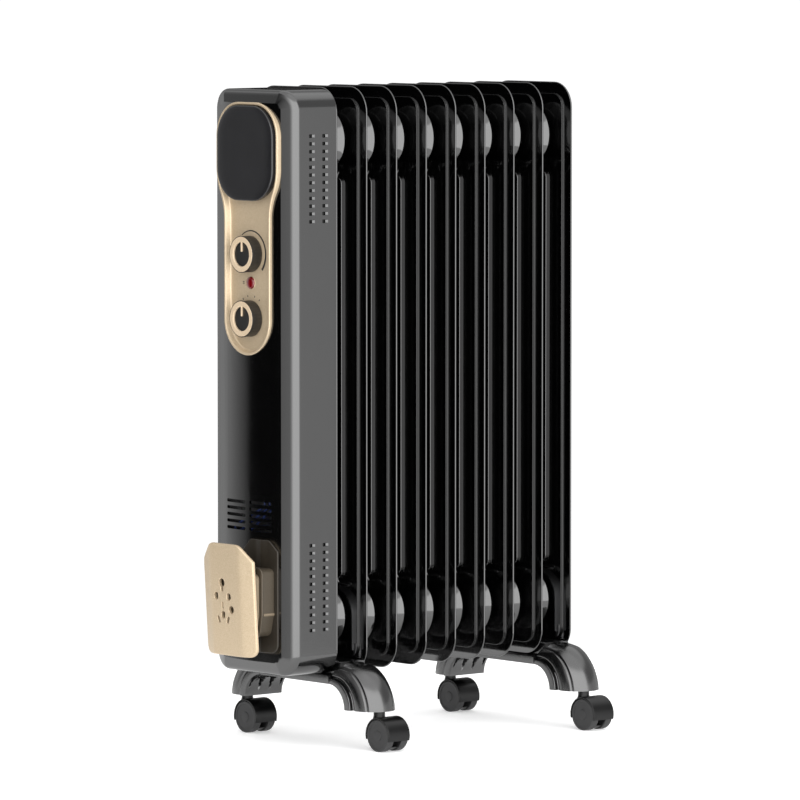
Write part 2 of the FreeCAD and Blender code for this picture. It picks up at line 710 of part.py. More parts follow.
node("terminal_block", slab("terminal_block", ("-22", "shield_front - 14", "block_z - block_half"),
                            ("22", "shield_front", "block_z + block_half"), "2", "X"))


def wire_path(points, bend):
    """Straight runs joined by tangent arcs of one radius."""
    edges = []
    last = points[0]
    for before, here, after in zip(points, points[1:], points[2:]):
        inward = (before - here).normalize()
        outward = (after - here).normalize()
        half = inward.getAngle(outward) / 2
        back_off = bend / math.tan(half)
        start = here + inward * back_off
        stop = here + outward * back_off
        middle = here + (inward + outward).normalize() * (bend / math.sin(half) - bend)
        edges.append(Part.LineSegment(last, start).toShape())
        edges.append(Part.Arc(start, middle, stop).toShape())
        last = stop
    edges.append(Part.LineSegment(last, points[-1]).toShape())
    return Part.Wire(edges)


def insulated_wire(points, radius, bend):
    path = wire_path(points, bend)
    direction = (points[1] - points[0]).normalize()
    section = Part.Wire(Part.Circle(points[0], direction, radius).toShape())
    return path.makePipeShell([section], True, False)


WIRE_RADIUS = 1.1
WIRE_COUNT = 3
TERMINAL_SPACING = 7
RISE_Y = -153                   # plane in which the wires climb to the power switch
block_y = dim("shield_front") - 6
block_bottom = Vector(-8, block_y, number("block_z - block_half"))
block_top = Vector(8, block_y, number("block_z + block_half"))
gland_end = Vector(12 - dim("case_half"), dim("gland_y"), dim("gland_z"))
selector_foot = dim("selector_z") - 17
wire_solids = []
for step in range(WIRE_COUNT):
    along = TERMINAL_SPACING * (step - 1)
    y = gland_end.y + 2.3 * (step - 1)
    x = gland_end.x + 5 + 4 * step
    foot = block_bottom + Vector(along, 0, 0)
    wire_solids.append(insulated_wire([
        Vector(gland_end.x, y, gland_end.z),
        Vector(x, y, gland_end.z),
        Vector(x, y, foot.z - 31 - 5 * step),
        foot - Vector(0, 0, 12),
        foot,
    ], WIRE_RADIUS, 2.2))
    start = block_top + Vector(along, 0, 0)
    wire_solids.append(insulated_wire([
        start,
        start + Vector(0, 0, 8),
        Vector(start.x, RISE_Y, start.z + 22),
        Vector(start.x + 14, RISE_Y, start.z + 44),
        Vector(start.x + 14, RISE_Y, selector_foot - 28),
        Vector(along, RISE_Y, selector_foot - 12),
        Vector(along, RISE_Y, selector_foot),
    ], WIRE_RADIUS, 4))
node("wiring", fixed("wiring", Part.makeCompound(wire_solids)))

node("cord_gland", cut(
    "cord_gland",
    fuse("gland_solid",
         rod("gland_flange", "cord_bore + 5.5", ("-case_half - 2.5", "gland_y", "gland_z"), "2.5", "X"),
         rod("gland_barrel", "cord_bore + 4", ("-case_half", "gland_y", "gland_z"), "12", "X")),
    rod("gland_bore", "cord_bore", ("-case_half - 5", "gland_y", "gland_z"), "25", "X"),
))

# ------------------------------------------------------------------ cord winder
back_body = body_of("winder_back_outline")
ear_chamfer = "(back_top - back_shoulder)"
back_sketch = outline_sketch(back_body, "winder_back_corners", "XZ_Plane", [
    ("back_half - back_corner", "back_low"),
    ("back_half", "back_low + back_corner", "back_corner"),
    ("back_half", "back_shoulder"),
    ("ear_x + ear_half", "back_top"),
    ("ear_x - ear_half", "back_top"),
    (f"ear_x - ear_half - {ear_chamfer}", "back_shoulder"),
    (f"{ear_chamfer} - back_half", "back_shoulder"),
    ("-back_half", f"back_shoulder - {ear_chamfer}"),
    ("-back_half", "back_low + back_corner"),
    ("back_corner - back_half", "back_low", "back_corner"),
], "-(case_front + 12)")
pad(back_body, "winder_back_pad", back_sketch, "back_thick + 13")
back_crown = rod("winder_back_crown", "case_crown + back_thick", ("0", "case_front + case_crown", "50"),
                 "200", "Z")
case_crown_space = rod("winder_case_space", "case_crown", ("0", "case_front + case_crown", "40"),
                       "220", "Z")
node("winder_back_plate", cut("winder_back_plate", common("winder_back_form", back_body, back_crown),
                              case_crown_space, *winder_holes["back"]))

drum_start = "case_front + 4"
drum_rear_block = rounded("drum_rear_block", box(
    "drum_rear_box", ("-drum_rear_half", "drum_seam", "drum_low"),
    ("drum_rear_half", drum_start, "drum_high")), "drum_corner", runs_along("Y"))
drum_space = rod("drum_space", "case_crown + back_thick + running", ("0", "case_front + case_crown", "40"),
                 "220", "Z")
drum_hollow = slab(
    "drum_hollow",
    ("drum_wall - drum_front_half", "winder_face - 30", "drum_low + drum_step + drum_wall"),
    ("drum_front_half - drum_wall", "drum_floor", "drum_high - drum_step - drum_wall"),
    "drum_corner - drum_wall",
)
node("winder_drum_rear", cut("winder_drum_rear", drum_rear_block, drum_space, drum_hollow,
                             *winder_holes["drum"]))

winder_screws = []
for side, sign in (("left", "-1"), ("right", "1")):
    x = f"{sign} * winder_screw_x"
    shank = rod(f"winder_shank_{side}", "winder_screw", (x, "drum_floor + 0.5", "winder_screw_z"), "11")
    head = rod(f"winder_head_{side}", "2 * winder_screw", (x, "case_front + 3.6", "winder_screw_z"), "2")
    winder_screws.append(fuse(f"winder_screw_{side}", shank, head))
node("winder_screws", group("winder_screws", *winder_screws))

tilt = Rotation(Vector(1, 0, 0), dim("winder_tilt"))
plate_middle = "((winder_low + winder_top) / 2)"
plate_place = ("winder_x", "winder_face", plate_middle)
front_body = body_of("winder_plate_form")
plate_sketch = outline_sketch(front_body, "winder_plate_section", "XY_Plane", [
    ("-winder_flat", "0"),
    ("winder_flat", "0"),
    ("winder_half", "winder_bend"),
    ("winder_half", "winder_bend + winder_thick"),
    ("winder_flat", "winder_thick"),
    ("-winder_flat", "winder_thick"),
    ("-winder_half", "winder_bend + winder_thick"),
    ("-winder_half", "winder_bend"),
], "(winder_low - winder_top) / 2")
pad(front_body, "winder_plate_pad", plate_sketch, "winder_top - winder_low")
trim_body = body_of("winder_plate_trim")
half_high = "((winder_top - winder_low) / 2)"
trim_sketch = outline_sketch(trim_body, "winder_plate_outline", "XZ_Plane", [
    ("winder_half - 8", f"-{half_high}"),
    ("winder_half", f"8 - {half_high}", "8"),
    ("winder_half", f"{half_high} - winder_chamfer"),
    ("winder_half - winder_chamfer", half_high),
    ("winder_chamfer - winder_half", half_high),
    ("-winder_half", f"{half_high} - winder_chamfer"),
    ("-winder_half", f"8 - {half_high}"),
    ("8 - winder_half", f"-{half_high}", "8"),
], "-20")
pad(trim_body, "winder_trim_pad", trim_sketch, "40")


def round_hole(name, radius, x, z):
    """A round hole for a parked plug pin, from the middle of the plate."""
    return rod(name, str(radius), (str(x), "-20", str(z)), "40")


def slot_hole(name, wide, high, x, z, lean=0):
    """An upright slot for a parked plug pin, its top leaning by degrees towards +X."""
    obj = doc.addObject("Part::Box", name)
    obj.Length, obj.Width, obj.Height = wide, 40, high
    middle = FreeCAD.Placement(Vector(x, -20, z), Rotation(Vector(0, 1, 0), lean))
    obj.Placement = middle.multiply(FreeCAD.Placement(Vector(-wide / 2, 0, -high / 2), Rotation()))
    return obj


def d_hole(name, radius, x, z, flat):
    """A round hole with a straight side at x = flat, towards the middle of the plate."""
    low, high = sorted((flat, x + math.copysign(2 * radius, x - flat)))
    keep = box(name + "_keep", (str(low), "-25", str(z - 2 * radius)), (str(high), "25", str(z + 2 * radius)))
    return common(name, round_hole(name + "_round", radius, x, z), keep)


parking = [
    round_hole("pin_hole_top", 4.0, -4.6, 15.9),
    slot_hole("pin_slot_top", 3.0, 8.4, -4.6, 11.7),
    d_hole("pin_hole_left", 3.4, -13.4, 3, -11.3),
    d_hole("pin_hole_right", 3.4, 4.4, 3, 2.3),
    slot_hole("pin_slot_middle", 1.6, 6.7, -4.6, -5.6),
    round_hole("pin_hole_side", 3.6, 7.8, -9),
    slot_hole("pin_slot_oval", 5.3, 6.8, -4.6, -14.5),
    slot_hole("pin_slot_left", 3, 6.6, -11.3, -19.1, -20),
    slot_hole("pin_slot_right", 3, 6.6, 2.3, -19.1, 20),
]
plate_form = cut("winder_plate_open", common("winder_plate_whole", front_body, trim_body), *parking)
doc.recompute()
plate = doc.addObject("Part::Feature", "winder_front_plate")
plate.Shape = plate_form.Shape
node("winder_front_plate", at(plate, *plate_place, turn=tilt))

drum_front_block = rounded("drum_front_block", box(
    "drum_front_box", ("-drum_front_half", "winder_face - 12", "drum_low + drum_step"),
    ("drum_front_half", "drum_seam", "drum_high - drum_step")), "drum_corner", runs_along("Y"))
front_space = body_of("plate_front_space")
far_back = "(winder_thick + winder_bend * (60 - winder_flat) / (winder_half - winder_flat))"
pad(front_space, "plate_front_pad", outline_sketch(front_space, "plate_front_section", "XY_Plane", [
    ("-60", "-40"),
    ("60", "-40"),
    ("60", far_back),
    ("winder_flat", "winder_thick"),
    ("-winder_flat", "winder_thick"),
    ("-60", far_back),
], "winder_low - winder_top"), "2 * (winder_top - winder_low)")
plate_cover = doc.addObject("Part::Feature", "plate_cover")
plate_cover.Shape = front_space.Shape
at(plate_cover, *plate_place, turn=tilt)
node("winder_drum_front", cut("winder_drum_front", drum_front_block, plate_cover, drum_hollow))

# ------------------------------------------------------------------ legs
def leg_corners():
    """Outline of a leg across the heater, from the right foot round to the left and back."""
    arch_start = "leg_inner - leg_arch"
    return [
        ("leg_inner", "leg_foot", "-leg_arch"),
        ("leg_tip", "leg_foot"),
        ("leg_shoulder", "leg_ridge - 2", "leg_curve"),
        ("leg_shoulder - 14", "leg_ridge"),
        ("14 - leg_shoulder", "leg_ridge"),
        ("-leg_shoulder", "leg_ridge - 2"),
        ("-leg_tip", "leg_foot", "leg_curve"),
        ("-leg_inner", "leg_foot"),
        (f"-({arch_start})", "leg_under", "-leg_arch"),
        (arch_start, "leg_under"),
    ]


def band_corners():
    """Outline of the raised band that follows the arch of a leg."""
    start = "(leg_inner - leg_arch)"
    return [
        ("leg_inner", "leg_foot", "-leg_arch"),
        ("leg_inner + leg_band", "leg_foot"),
        (start, "leg_under + leg_band", "leg_arch + leg_band"),
        (f"-{start}", "leg_under + leg_band"),
        ("-leg_inner - leg_band", "leg_foot", "leg_arch + leg_band"),
        ("-leg_inner", "leg_foot"),
        (f"-{start}", "leg_under", "-leg_arch"),
        (start, "leg_under"),
    ]


def prism(name, corners, half):
    body = body_of(name)
    pad(body, name + "_pad", outline_sketch(body, name + "_outline", "XZ_Plane", corners, f"-({half})"),
        f"2 * {half}")
    return body


leg_plan = slab("leg_plan", ("-leg_tip", "-leg_half", "leg_foot - 1"), ("leg_tip", "leg_half", "leg_ridge + 1"),
                "leg_nose", "Z")
leg_main = prism("leg_main", leg_corners(), "leg_core")
leg_band = prism("leg_band_form", band_corners(), "leg_half")
leg_blank = common("leg_blank", leg_plan, fuse("leg_solid", leg_main, leg_band))
fin_notches = []
for side, sign in (("front", "-1"), ("rear", "1")):
    middle = f"{sign} * fin_pitch / 2"
    fin_notches.append(slab(
        f"fin_notch_{side}",
        ("-fin_wide / 2 - 0.5", f"{middle} - 3.4", "fin_low"),
        ("fin_wide / 2 + 0.5", f"{middle} + 3.4", "fin_low + 100"),
        "case_corner - 1.5",
    ))
sockets = []
for side, sign in (("left", "-1"), ("right", "1")):
    sockets.append(rod(f"stem_socket_{side}", "stem + running", (f"{sign} * caster_x", "0", "leg_foot - 5"),
                       "stem_top + 0.5 - leg_foot + 5", "Z"))
    stud_x = f"{sign} * (strap_radius + strap_thick / 2)"
    sockets.append(rod(f"stud_hole_{side}", "stud + 0.2", (stud_x, "0", "0"), "100", "Z"))
    sockets.append(rod(f"nut_pocket_{side}", "5.2", (stud_x, "0", "0"), "leg_under + 4.5", "Z"))
leg_form = cut("leg_form", leg_blank, *fin_notches, *sockets)

strap_ring = cut("strap_ring", rod("strap_outer", "strap_radius + strap_thick",
                                   ("0", "-strap_wide / 2", "header_low"), "strap_wide"),
                 rod("strap_inner", "strap_radius", ("0", "-strap_wide", "header_low"), "2 * strap_wide"),
                 box("strap_lower", ("-60", "-20", "0"), ("60", "20", "header_low")))
strap_parts = [strap_ring]
nuts = []
for side, sign in (("left", "-1"), ("right", "1")):
    middle = f"{sign} * (strap_radius + strap_thick / 2)"
    strap_parts.append(box(f"strap_leg_{side}", (f"{middle} - strap_thick / 2", "-strap_wide / 2", "86"),
                           (f"{middle} + strap_thick / 2", "strap_wide / 2", "header_low")))
    strap_parts.append(rod(f"strap_stud_{side}", "stud", (middle, "0", "leg_under + 0.5"),
                           "92 - leg_under", "Z"))
strap_form = fuse("strap_form", *strap_parts)
doc.recompute()
leg_places = (("front", "fin_first + fin_pitch / 2"), ("rear", "fin_first + 7.5 * fin_pitch"))
for which, y in leg_places:
    leg = doc.addObject("Part::Feature", f"leg_shape_{which}")
    leg.Shape = leg_form.Shape
    node(f"leg_{which}", at(leg, y=y))
    strap = doc.addObject("Part::Feature", f"strap_shape_{which}")
    strap.Shape = strap_form.Shape
    node(f"leg_strap_{which}", at(strap, y=y))
    for side, sign in (("left", "-1"), ("right", "1")):
        middle = f"{sign} * (strap_radius + strap_thick / 2)"
        body = rod(f"nut_body_{which}_{side}", "4.6", (middle, y, "leg_under + 0.4"), "4.1", "Z")
        hole = rod(f"nut_hole_{which}_{side}", "stud", (middle, y, "0"), "100", "Z")
        nuts.append(cut(f"nut_{which}_{side}", body, hole))
node("leg_nuts", group("leg_nuts", *nuts))


# ------------------------------------------------------------------ casters
def caster_parts():
    """The hood, the two pins and the two wheels, about a swivel axis at x = y = 0."""
    hub = ("caster_trail", "0", "wheel_radius")
    wheel_out = "(wheel_inner + wheel_wide)"

    def across(name, radius, half):
        return rod(name, radius, (hub[0], f"-({half})", hub[2]), f"2 * ({half})")

    def outboard(name, radius, near, far, sign):
        start = f"{near}" if sign > 0 else f"-({far})"
        return rod(name, radius, (hub[0], start, hub[2]), f"({far}) - ({near})")

    cover = cut("hood_cover", across("hood_round", "hood_radius", wheel_out),
                box("hood_open", ("-50", "-50", "-50"), ("50", "50", "wheel_radius - hood_skirt")))
    neck = rod("hood_neck", "5.4", ("0", "0", "20"), "neck_top - 20", "Z")
    rooms = [outboard(f"wheel_room_{i}", "hood_room", "web_half", f"{wheel_out} + 5", sign)
             for i, sign in enumerate((-1, 1))]
    shell = cut("hood_shell", fuse("hood_outside", cover, neck), *rooms)
    web = cut("hood_web", across("web_disc", "web_radius", "web_half"),
              box("web_window", ("caster_trail + 2", "-20", "4.6"),
                  ("caster_trail + 30", "20", "wheel_radius - hood_skirt")))
    stem_bore = rod("hood_stem_bore", "stem", ("0", "0", "22"), "30", "Z")
    axle_bore = across("hood_axle_bore", "axle", "web_half + 1")
    hood = cut("hood_form", fuse("hood_whole", shell, web), stem_bore, axle_bore)
    pins = group("caster_pins", rod("stem_pin", "stem", ("0", "0", "22"), "stem_top - 22", "Z"),
                 across("axle_pin", "axle", f"{wheel_out} - 1.5"))
    wheels = []
    for i, sign in enumerate((-1, 1)):
        disc = outboard(f"wheel_disc_{i}", "wheel_radius", "wheel_inner", wheel_out, sign)
        tread = rounded(f"wheel_tread_{i}", disc, "0.8", lambda edge: isinstance(edge.Curve, Part.Circle))
        bore = outboard(f"wheel_bore_{i}", "axle + running", "wheel_inner - 2", f"{wheel_out} - 1.3", sign)
        wheels.append(cut(f"wheel_form_{i}", tread, bore))
    return {"hood": hood, "pins": pins, "wheel_a": wheels[0], "wheel_b": wheels[1]}


masters = caster_parts()
doc.recompute()
for which, y in leg_places:
    for side, sign in (("left", "-1"), ("right", "1")):
        for piece, master in masters.items():
            name = f"caster_{which}_{side}_{piece}"
            copy = doc.addObject("Part::Feature", name + "_shape")
            copy.Shape = master.Shape
            node(name, at(copy, x=f"{sign} * caster_x", y=y))


# ------------------------------------------------------------------ check and export
def export_all():
    doc.recompute()
    for obj in doc.Objects:
        bad = {"Invalid", "Error"} & set(obj.State)
        if bad:
            raise RuntimeError(f"{obj.Name} is {sorted(bad)}")
    os.makedirs("parts", exist_ok=True)
    for name, obj in NODES.items():
        shape = obj.Shape
        if shape.isNull() or not shape.isValid():
            raise RuntimeError(f"{name} has no valid shape")
        if not shape.Solids:
            raise RuntimeError(f"{name} holds no solid")
        shape.exportStep(f"parts/{name}.step")
        size = shape.BoundBox
        print(f"{name}: {len(shape.Solids)} solids, volume {shape.Volume:.0f},"
              f" z {size.ZMin:.1f} to {size.ZMax:.1f}")


export_all()
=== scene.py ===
"""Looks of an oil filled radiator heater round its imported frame.

Frame: +Z up from the floor, -Y towards the control case, X across the heater.  Shapes are written in
millimetres and scaled to metres when a piece is made.
"""

import json
import math

import bmesh
import bpy
from mathutils import Matrix, Vector
from mathutils.geometry import tessellate_polygon


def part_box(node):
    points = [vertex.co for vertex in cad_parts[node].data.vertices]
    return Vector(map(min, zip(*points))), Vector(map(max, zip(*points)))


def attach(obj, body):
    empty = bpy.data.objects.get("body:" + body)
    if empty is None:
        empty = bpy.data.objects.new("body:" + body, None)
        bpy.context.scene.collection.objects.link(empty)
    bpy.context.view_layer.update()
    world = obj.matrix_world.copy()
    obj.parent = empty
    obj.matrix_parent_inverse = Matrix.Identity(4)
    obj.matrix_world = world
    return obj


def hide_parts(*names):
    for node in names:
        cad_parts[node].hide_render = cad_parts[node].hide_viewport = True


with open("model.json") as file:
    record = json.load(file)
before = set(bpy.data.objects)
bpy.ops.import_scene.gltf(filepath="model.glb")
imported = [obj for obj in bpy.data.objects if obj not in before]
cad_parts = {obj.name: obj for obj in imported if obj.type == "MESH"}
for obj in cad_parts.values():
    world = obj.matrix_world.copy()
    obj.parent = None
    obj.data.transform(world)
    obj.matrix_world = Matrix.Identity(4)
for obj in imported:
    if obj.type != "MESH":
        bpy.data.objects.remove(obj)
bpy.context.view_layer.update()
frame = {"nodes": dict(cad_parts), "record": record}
NODES = frame["nodes"]
MM = 0.001
scene = bpy.context.scene


def sides(node):
    """Lowest and highest corner of a CAD node, in millimetres."""
    return [[round(v / MM, 4) for v in corner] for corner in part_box(node)]


def midway(node, axis):
    """Middle of a CAD node along one axis, in millimetres."""
    low, high = sides(node)
    return round((low[axis] + high[axis]) / 2, 4)


# ------------------------------------------------------------------ materials
def add_node(tree, kind, inputs):
    """A new node, its inputs set to values or linked to other nodes' outputs."""
    made = tree.nodes.new(kind)
    for name, value in inputs.items():
        socket = made.inputs[name.replace("_", " ")]
        if isinstance(value, bpy.types.NodeSocket):
            tree.links.new(value, socket)
        else:
            socket.default_value = value
    return made


class Shader:
    """A node tree with short ways to add and join nodes."""

    def __init__(self, name):
        self.material = bpy.data.materials.new(name)
        self.material.use_nodes = True
        self.tree = self.material.node_tree
        self.surface = self.tree.nodes["Principled BSDF"]
        self.place = self.node("ShaderNodeTexCoord").outputs["Object"]

    def node(self, kind, **inputs):
        return add_node(self.tree, kind, inputs)

    def noise(self, scale, detail=3.0, rough=0.5, stretch=None):
        where = self.place
        if stretch:
            where = self.node("ShaderNodeMapping", Vector=where, Scale=stretch).outputs["Vector"]
        made = self.node("ShaderNodeTexNoise", Vector=where, Scale=scale, Detail=detail, Roughness=rough)
        return made.outputs["Fac"]

    def ramp(self, value, *stops):
        """A colour ramp; each stop is (place, colour)."""
        made = self.node("ShaderNodeValToRGB", Fac=value)
        points = made.color_ramp.elements
        while len(points) < len(stops):
            points.new(0.5)
        for point, (place, colour) in zip(points, stops):
            point.position = place
            point.color = (*colour, 1.0)
        return made.outputs["Color"]

    def spread(self, value, low, high):
        """Value from 0..1 spread over low..high."""
        made = self.node("ShaderNodeMapRange", Value=value, To_Min=low, To_Max=high)
        return made.outputs["Result"]

    def bump(self, height, depth, strength=1.0):
        """Relief of a real depth in metres."""
        made = self.node("ShaderNodeBump", Height=height, Distance=depth, Strength=strength)
        self.tree.links.new(made.outputs["Normal"], self.surface.inputs["Normal"])

    def set(self, **inputs):
        for name, value in inputs.items():
            socket = self.surface.inputs[name.replace("_", " ")]
            if isinstance(value, bpy.types.NodeSocket):
                self.tree.links.new(value, socket)
            else:
                socket.default_value = value
        return self.material


def shade(colour, factor):
    return tuple(min(1.0, c * factor) for c in colour)


def enamel():
    """Baked black paint on pressed steel: glossy with a faint orange peel."""
    s = Shader("enamel")
    s.bump(s.noise(420.0, 2.0), 0.000006, 0.6)
    dust = s.noise(35.0, 5.0, 0.6)
    colour = s.ramp(dust, (0.35, (0.0003, 0.0003, 0.00033)), (0.75, (0.0007, 0.0007, 0.00077)))
    rough = s.spread(s.noise(60.0, 4.0), 0.045, 0.11)
    return s.set(Base_Color=colour, Roughness=rough, IOR=1.9)


def moulded(name, colour, rough, grain=900.0, depth=0.000012, ior=1.5, soft=0.06):
    """Moulded plastic with a fine grain and uneven gloss."""
    s = Shader(name)
    s.bump(s.noise(grain, 3.0, 0.6), depth)
    tone = s.noise(28.0, 4.0, 0.55)
    base = s.ramp(tone, (0.3, shade(colour, 0.86)), (0.72, shade(colour, 1.12)))
    return s.set(Base_Color=base, Roughness=s.spread(s.noise(45.0, 5.0), rough - soft, rough + soft), IOR=ior)


def champagne(name, tone):
    """Champagne metallic paint: fine flakes under a satin clear coat; a tone below 1 makes a darker copy that
    is painted shade.
    """
    s = Shader(name)
    flake = s.node("ShaderNodeTexVoronoi", Vector=s.place, Scale=2600.0).outputs["Color"]
    fleck = s.node("ShaderNodeSeparateColor", Color=flake).outputs["Red"]
    drift = s.node("ShaderNodeMath", Value=fleck)
    drift.operation = "MULTIPLY"
    s.tree.links.new(s.spread(s.noise(24.0, 3.0), 0.75, 1.0), drift.inputs[1])
    colour = s.ramp(drift.outputs["Value"], (0.0, shade((0.43, 0.33, 0.215), tone)),
                    (1.0, shade((0.57, 0.465, 0.325), tone)))
    s.bump(s.noise(1500.0, 2.0), 0.000005)
    return s.set(Base_Color=colour, Metallic=0.5, Roughness=s.spread(fleck, 0.38, 0.5), Coat_Weight=0.2,
                 Coat_Roughness=0.25)


def gold():
    """Anodised trim with turned marks."""
    s = Shader("dial_gold")
    marks = s.noise(900.0, 2.0, 0.5, stretch=(1.0, 6.0, 1.0))
    colour = s.ramp(marks, (0.3, (0.52, 0.40, 0.27)), (0.7, (0.62, 0.49, 0.34)))
    s.bump(marks, 0.000008)
    return s.set(Base_Color=colour, Metallic=0.3, Roughness=s.spread(marks, 0.3, 0.42))


def steel(name, colour, rough, stretch=(1.0, 8.0, 1.0)):
    """Plated steel with drawn marks."""
    s = Shader(name)
    marks = s.noise(700.0, 3.0, 0.55, stretch=stretch)
    base = s.ramp(marks, (0.3, shade(colour, 0.8)), (0.75, shade(colour, 1.15)))
    s.bump(marks, 0.00001)
    return s.set(Base_Color=base, Metallic=1.0,
                 Roughness=s.spread(s.noise(80.0, 4.0), rough - 0.07, rough + 0.08))


def lens():
    """Dark red lamp lens with a ribbed inside."""
    s = Shader("lens")
    depth = s.noise(160.0, 2.0)
    colour = s.ramp(depth, (0.2, (0.06, 0.0, 0.0015)), (0.8, (0.15, 0.001, 0.003)))
    s.bump(s.noise(1400.0, 1.0), 0.00001)
    return s.set(Base_Color=colour, Roughness=s.spread(depth, 0.08, 0.16), Coat_Weight=0.6,
                 Coat_Roughness=0.05)


def pale_floor():
    s = Shader("pale_floor")
    tone = s.noise(6.0, 4.0)
    colour = s.ramp(tone, (0.3, (0.86, 0.86, 0.86)), (0.7, (0.9, 0.9, 0.9)))
    s.bump(s.noise(300.0, 3.0), 0.00004)
    return s.set(Base_Color=colour, Roughness=s.spread(tone, 0.55, 0.7), Emission_Color=colour,
                 Emission_Strength=0.4)


MATERIALS = {
    "enamel": enamel(),
    "case_plastic": moulded("case_plastic", (0.0004, 0.0004, 0.00045), 0.13, 1100.0, 0.000005, 1.9, 0.03),
    "champagne": champagne("champagne", 1.0),
    # darker copies of the champagne paint: their darkness is painted shade on the winder's drum and back
    # plate, not a second paint colour
    "bronze": champagne("bronze", 0.42),
    "bronze_mid": champagne("bronze_mid", 0.13),
    "bronze_dark": champagne("bronze_dark", 0.045),
    "badge_plastic": moulded("badge_plastic", (0.012, 0.012, 0.013), 0.16, 1400.0, 0.000003, 1.5, 0.03),
    "dial_plastic": moulded("dial_plastic", (0.006, 0.0058, 0.0056), 0.36),
    "dial_gold": gold(),
    "lens": lens(),
    "nylon": moulded("nylon", (0.55, 0.53, 0.48), 0.45),
    "steel": steel("steel", (0.52, 0.52, 0.53), 0.33),
    "wire_cover": moulded("wire_cover", (0.035, 0.06, 0.20), 0.42),
    "gland_rubber": moulded("gland_rubber", (0.014, 0.014, 0.014), 0.6, 700.0, 0.00003),
    "leg_plastic": moulded("leg_plastic", (0.0010, 0.0010, 0.0011), 0.2, 1000.0, 0.000006, 1.9, 0.04),
    "hood_plastic": moulded("hood_plastic", (0.001, 0.001, 0.0011), 0.3, 900.0, 0.00001, 1.38),
    "wheel_plastic": moulded("wheel_plastic", (0.015, 0.015, 0.0155), 0.55, 700.0, 0.00002),
    "print": moulded("print", (0.006, 0.006, 0.006), 0.5, 1500.0, 0.000003),
}
for record_slot in frame["record"]["materials"]:
    wanted = record_slot["slot"]
    if wanted not in MATERIALS:
        raise RuntimeError(f"no material for {wanted}")


# ------------------------------------------------------------------ outlines, in millimetres
def arc(x, y, radius, start, stop, steps=8):
    """Points on an arc, both ends kept, angles in degrees."""
    turn = [math.radians(start + (stop - start) * i / steps) for i in range(steps + 1)]
    return [(x + radius * math.cos(a), y + radius * math.sin(a)) for a in turn]


def rounded_box(x0, x1, y0, y1, radius, steps=9):
    points = []
    for x, y, start in ((x1 - radius, y0 + radius, -90), (x1 - radius, y1 - radius, 0),
                        (x0 + radius, y1 - radius, 90), (x0 + radius, y0 + radius, 180)):
        points += arc(x, y, radius, start, start + 90, steps)
    return points


def circle(x, y, radius, steps=72):
    return arc(x, y, radius, 0, 360 - 360 / steps, steps - 1)


def s_curve(inset, low, width, rise, steps=5):
    """A step's section: (inset, height) from a flat, up through two equal arcs to a flat."""
    half = 2 * math.atan2(rise, width)
    radius = width / 2 / math.sin(half)
    points = []
    for i in range(steps + 1):
        a = half * i / steps
        points.append((inset + radius * math.sin(a), low + radius * (1 - math.cos(a))))
    for i in range(steps - 1, -1, -1):
        a = half * i / steps
        points.append((inset + width - radius * math.sin(a), low + rise - radius * (1 - math.cos(a))))
    return points


# ------------------------------------------------------------------ mesh building
class Form:
    """A mesh in the making."""

    def __init__(self):
        self.bm = bmesh.new()

    def loop(self, points):
        return [self.bm.verts.new(p) for p in points]

    def face(self, corners):
        """A face, unless the mesh has the same one already."""
        try:
            self.bm.faces.new(corners)
        except ValueError:
            pass

    def skin(self, a, b, closed=True):
        count = len(a)
        for i in range(count if closed else count - 1):
            j = (i + 1) % count
            self.face((a[i], a[j], b[j], b[i]))

    def skins(self, loops, closed=True):
        """Faces from each loop to the next."""
        for a, b in zip(loops, loops[1:]):
            self.skin(a, b, closed)

    def cup(self, loops):
        """Faces from each loop to the next, with the last one filled."""
        self.skins(loops)
        self.fill(loops[-1])

    def fill(self, outer, *holes):
        """Flat faces inside a loop of vertices, clear of the holes."""
        loops = [outer, *holes]
        flat = [v for loop in loops for v in loop]
        for triangle in tessellate_polygon([[v.co for v in loop] for loop in loops]):
            self.face([flat[i] for i in triangle])

    def piece(self, name, body, slot, *materials, replaces=(), at=(0.0, 0.0, 0.0), turn=None, crease=38.0,
              weighted=True):
        """The finished object, riding on its body."""
        bm = self.bm
        bmesh.ops.remove_doubles(bm, verts=bm.verts, dist=0.0005)
        bmesh.ops.recalc_face_normals(bm, faces=bm.faces)
        if turn:
            bmesh.ops.transform(bm, matrix=turn, verts=bm.verts)
        bmesh.ops.scale(bm, vec=(MM, MM, MM), verts=bm.verts)
        for face in bm.faces:
            face.smooth = True
        limit = math.radians(crease)
        for edge in bm.edges:
            edge.smooth = len(edge.link_faces) == 2 and edge.calc_face_angle(0.0) < limit
        data = bpy.data.meshes.new(name)
        bm.to_mesh(data)
        bm.free()
        return settle(data, name, body, materials or (slot,), replaces, at, weighted)


def settle(data, name, body, materials, replaces=(), at=(0.0, 0.0, 0.0), weighted=True):
    """Put mesh data in the scene as a piece on a body."""
    if not data.materials:
        for key in materials:
            data.materials.append(MATERIALS[key])
    made = bpy.data.objects.new(name, data)
    scene.collection.objects.link(made)
    made.location = Vector(at) * MM
    if weighted:
        smoothing = made.modifiers.new("normals", "WEIGHTED_NORMAL")
        smoothing.keep_sharp = True
        smoothing.weight = 90
    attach(made, body)
    if replaces:
        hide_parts(*replaces)
    return made


def upright(form, points, y):
    """A loop of vertices in the plane y."""
    return form.loop([(x, y, z) for x, z in points])


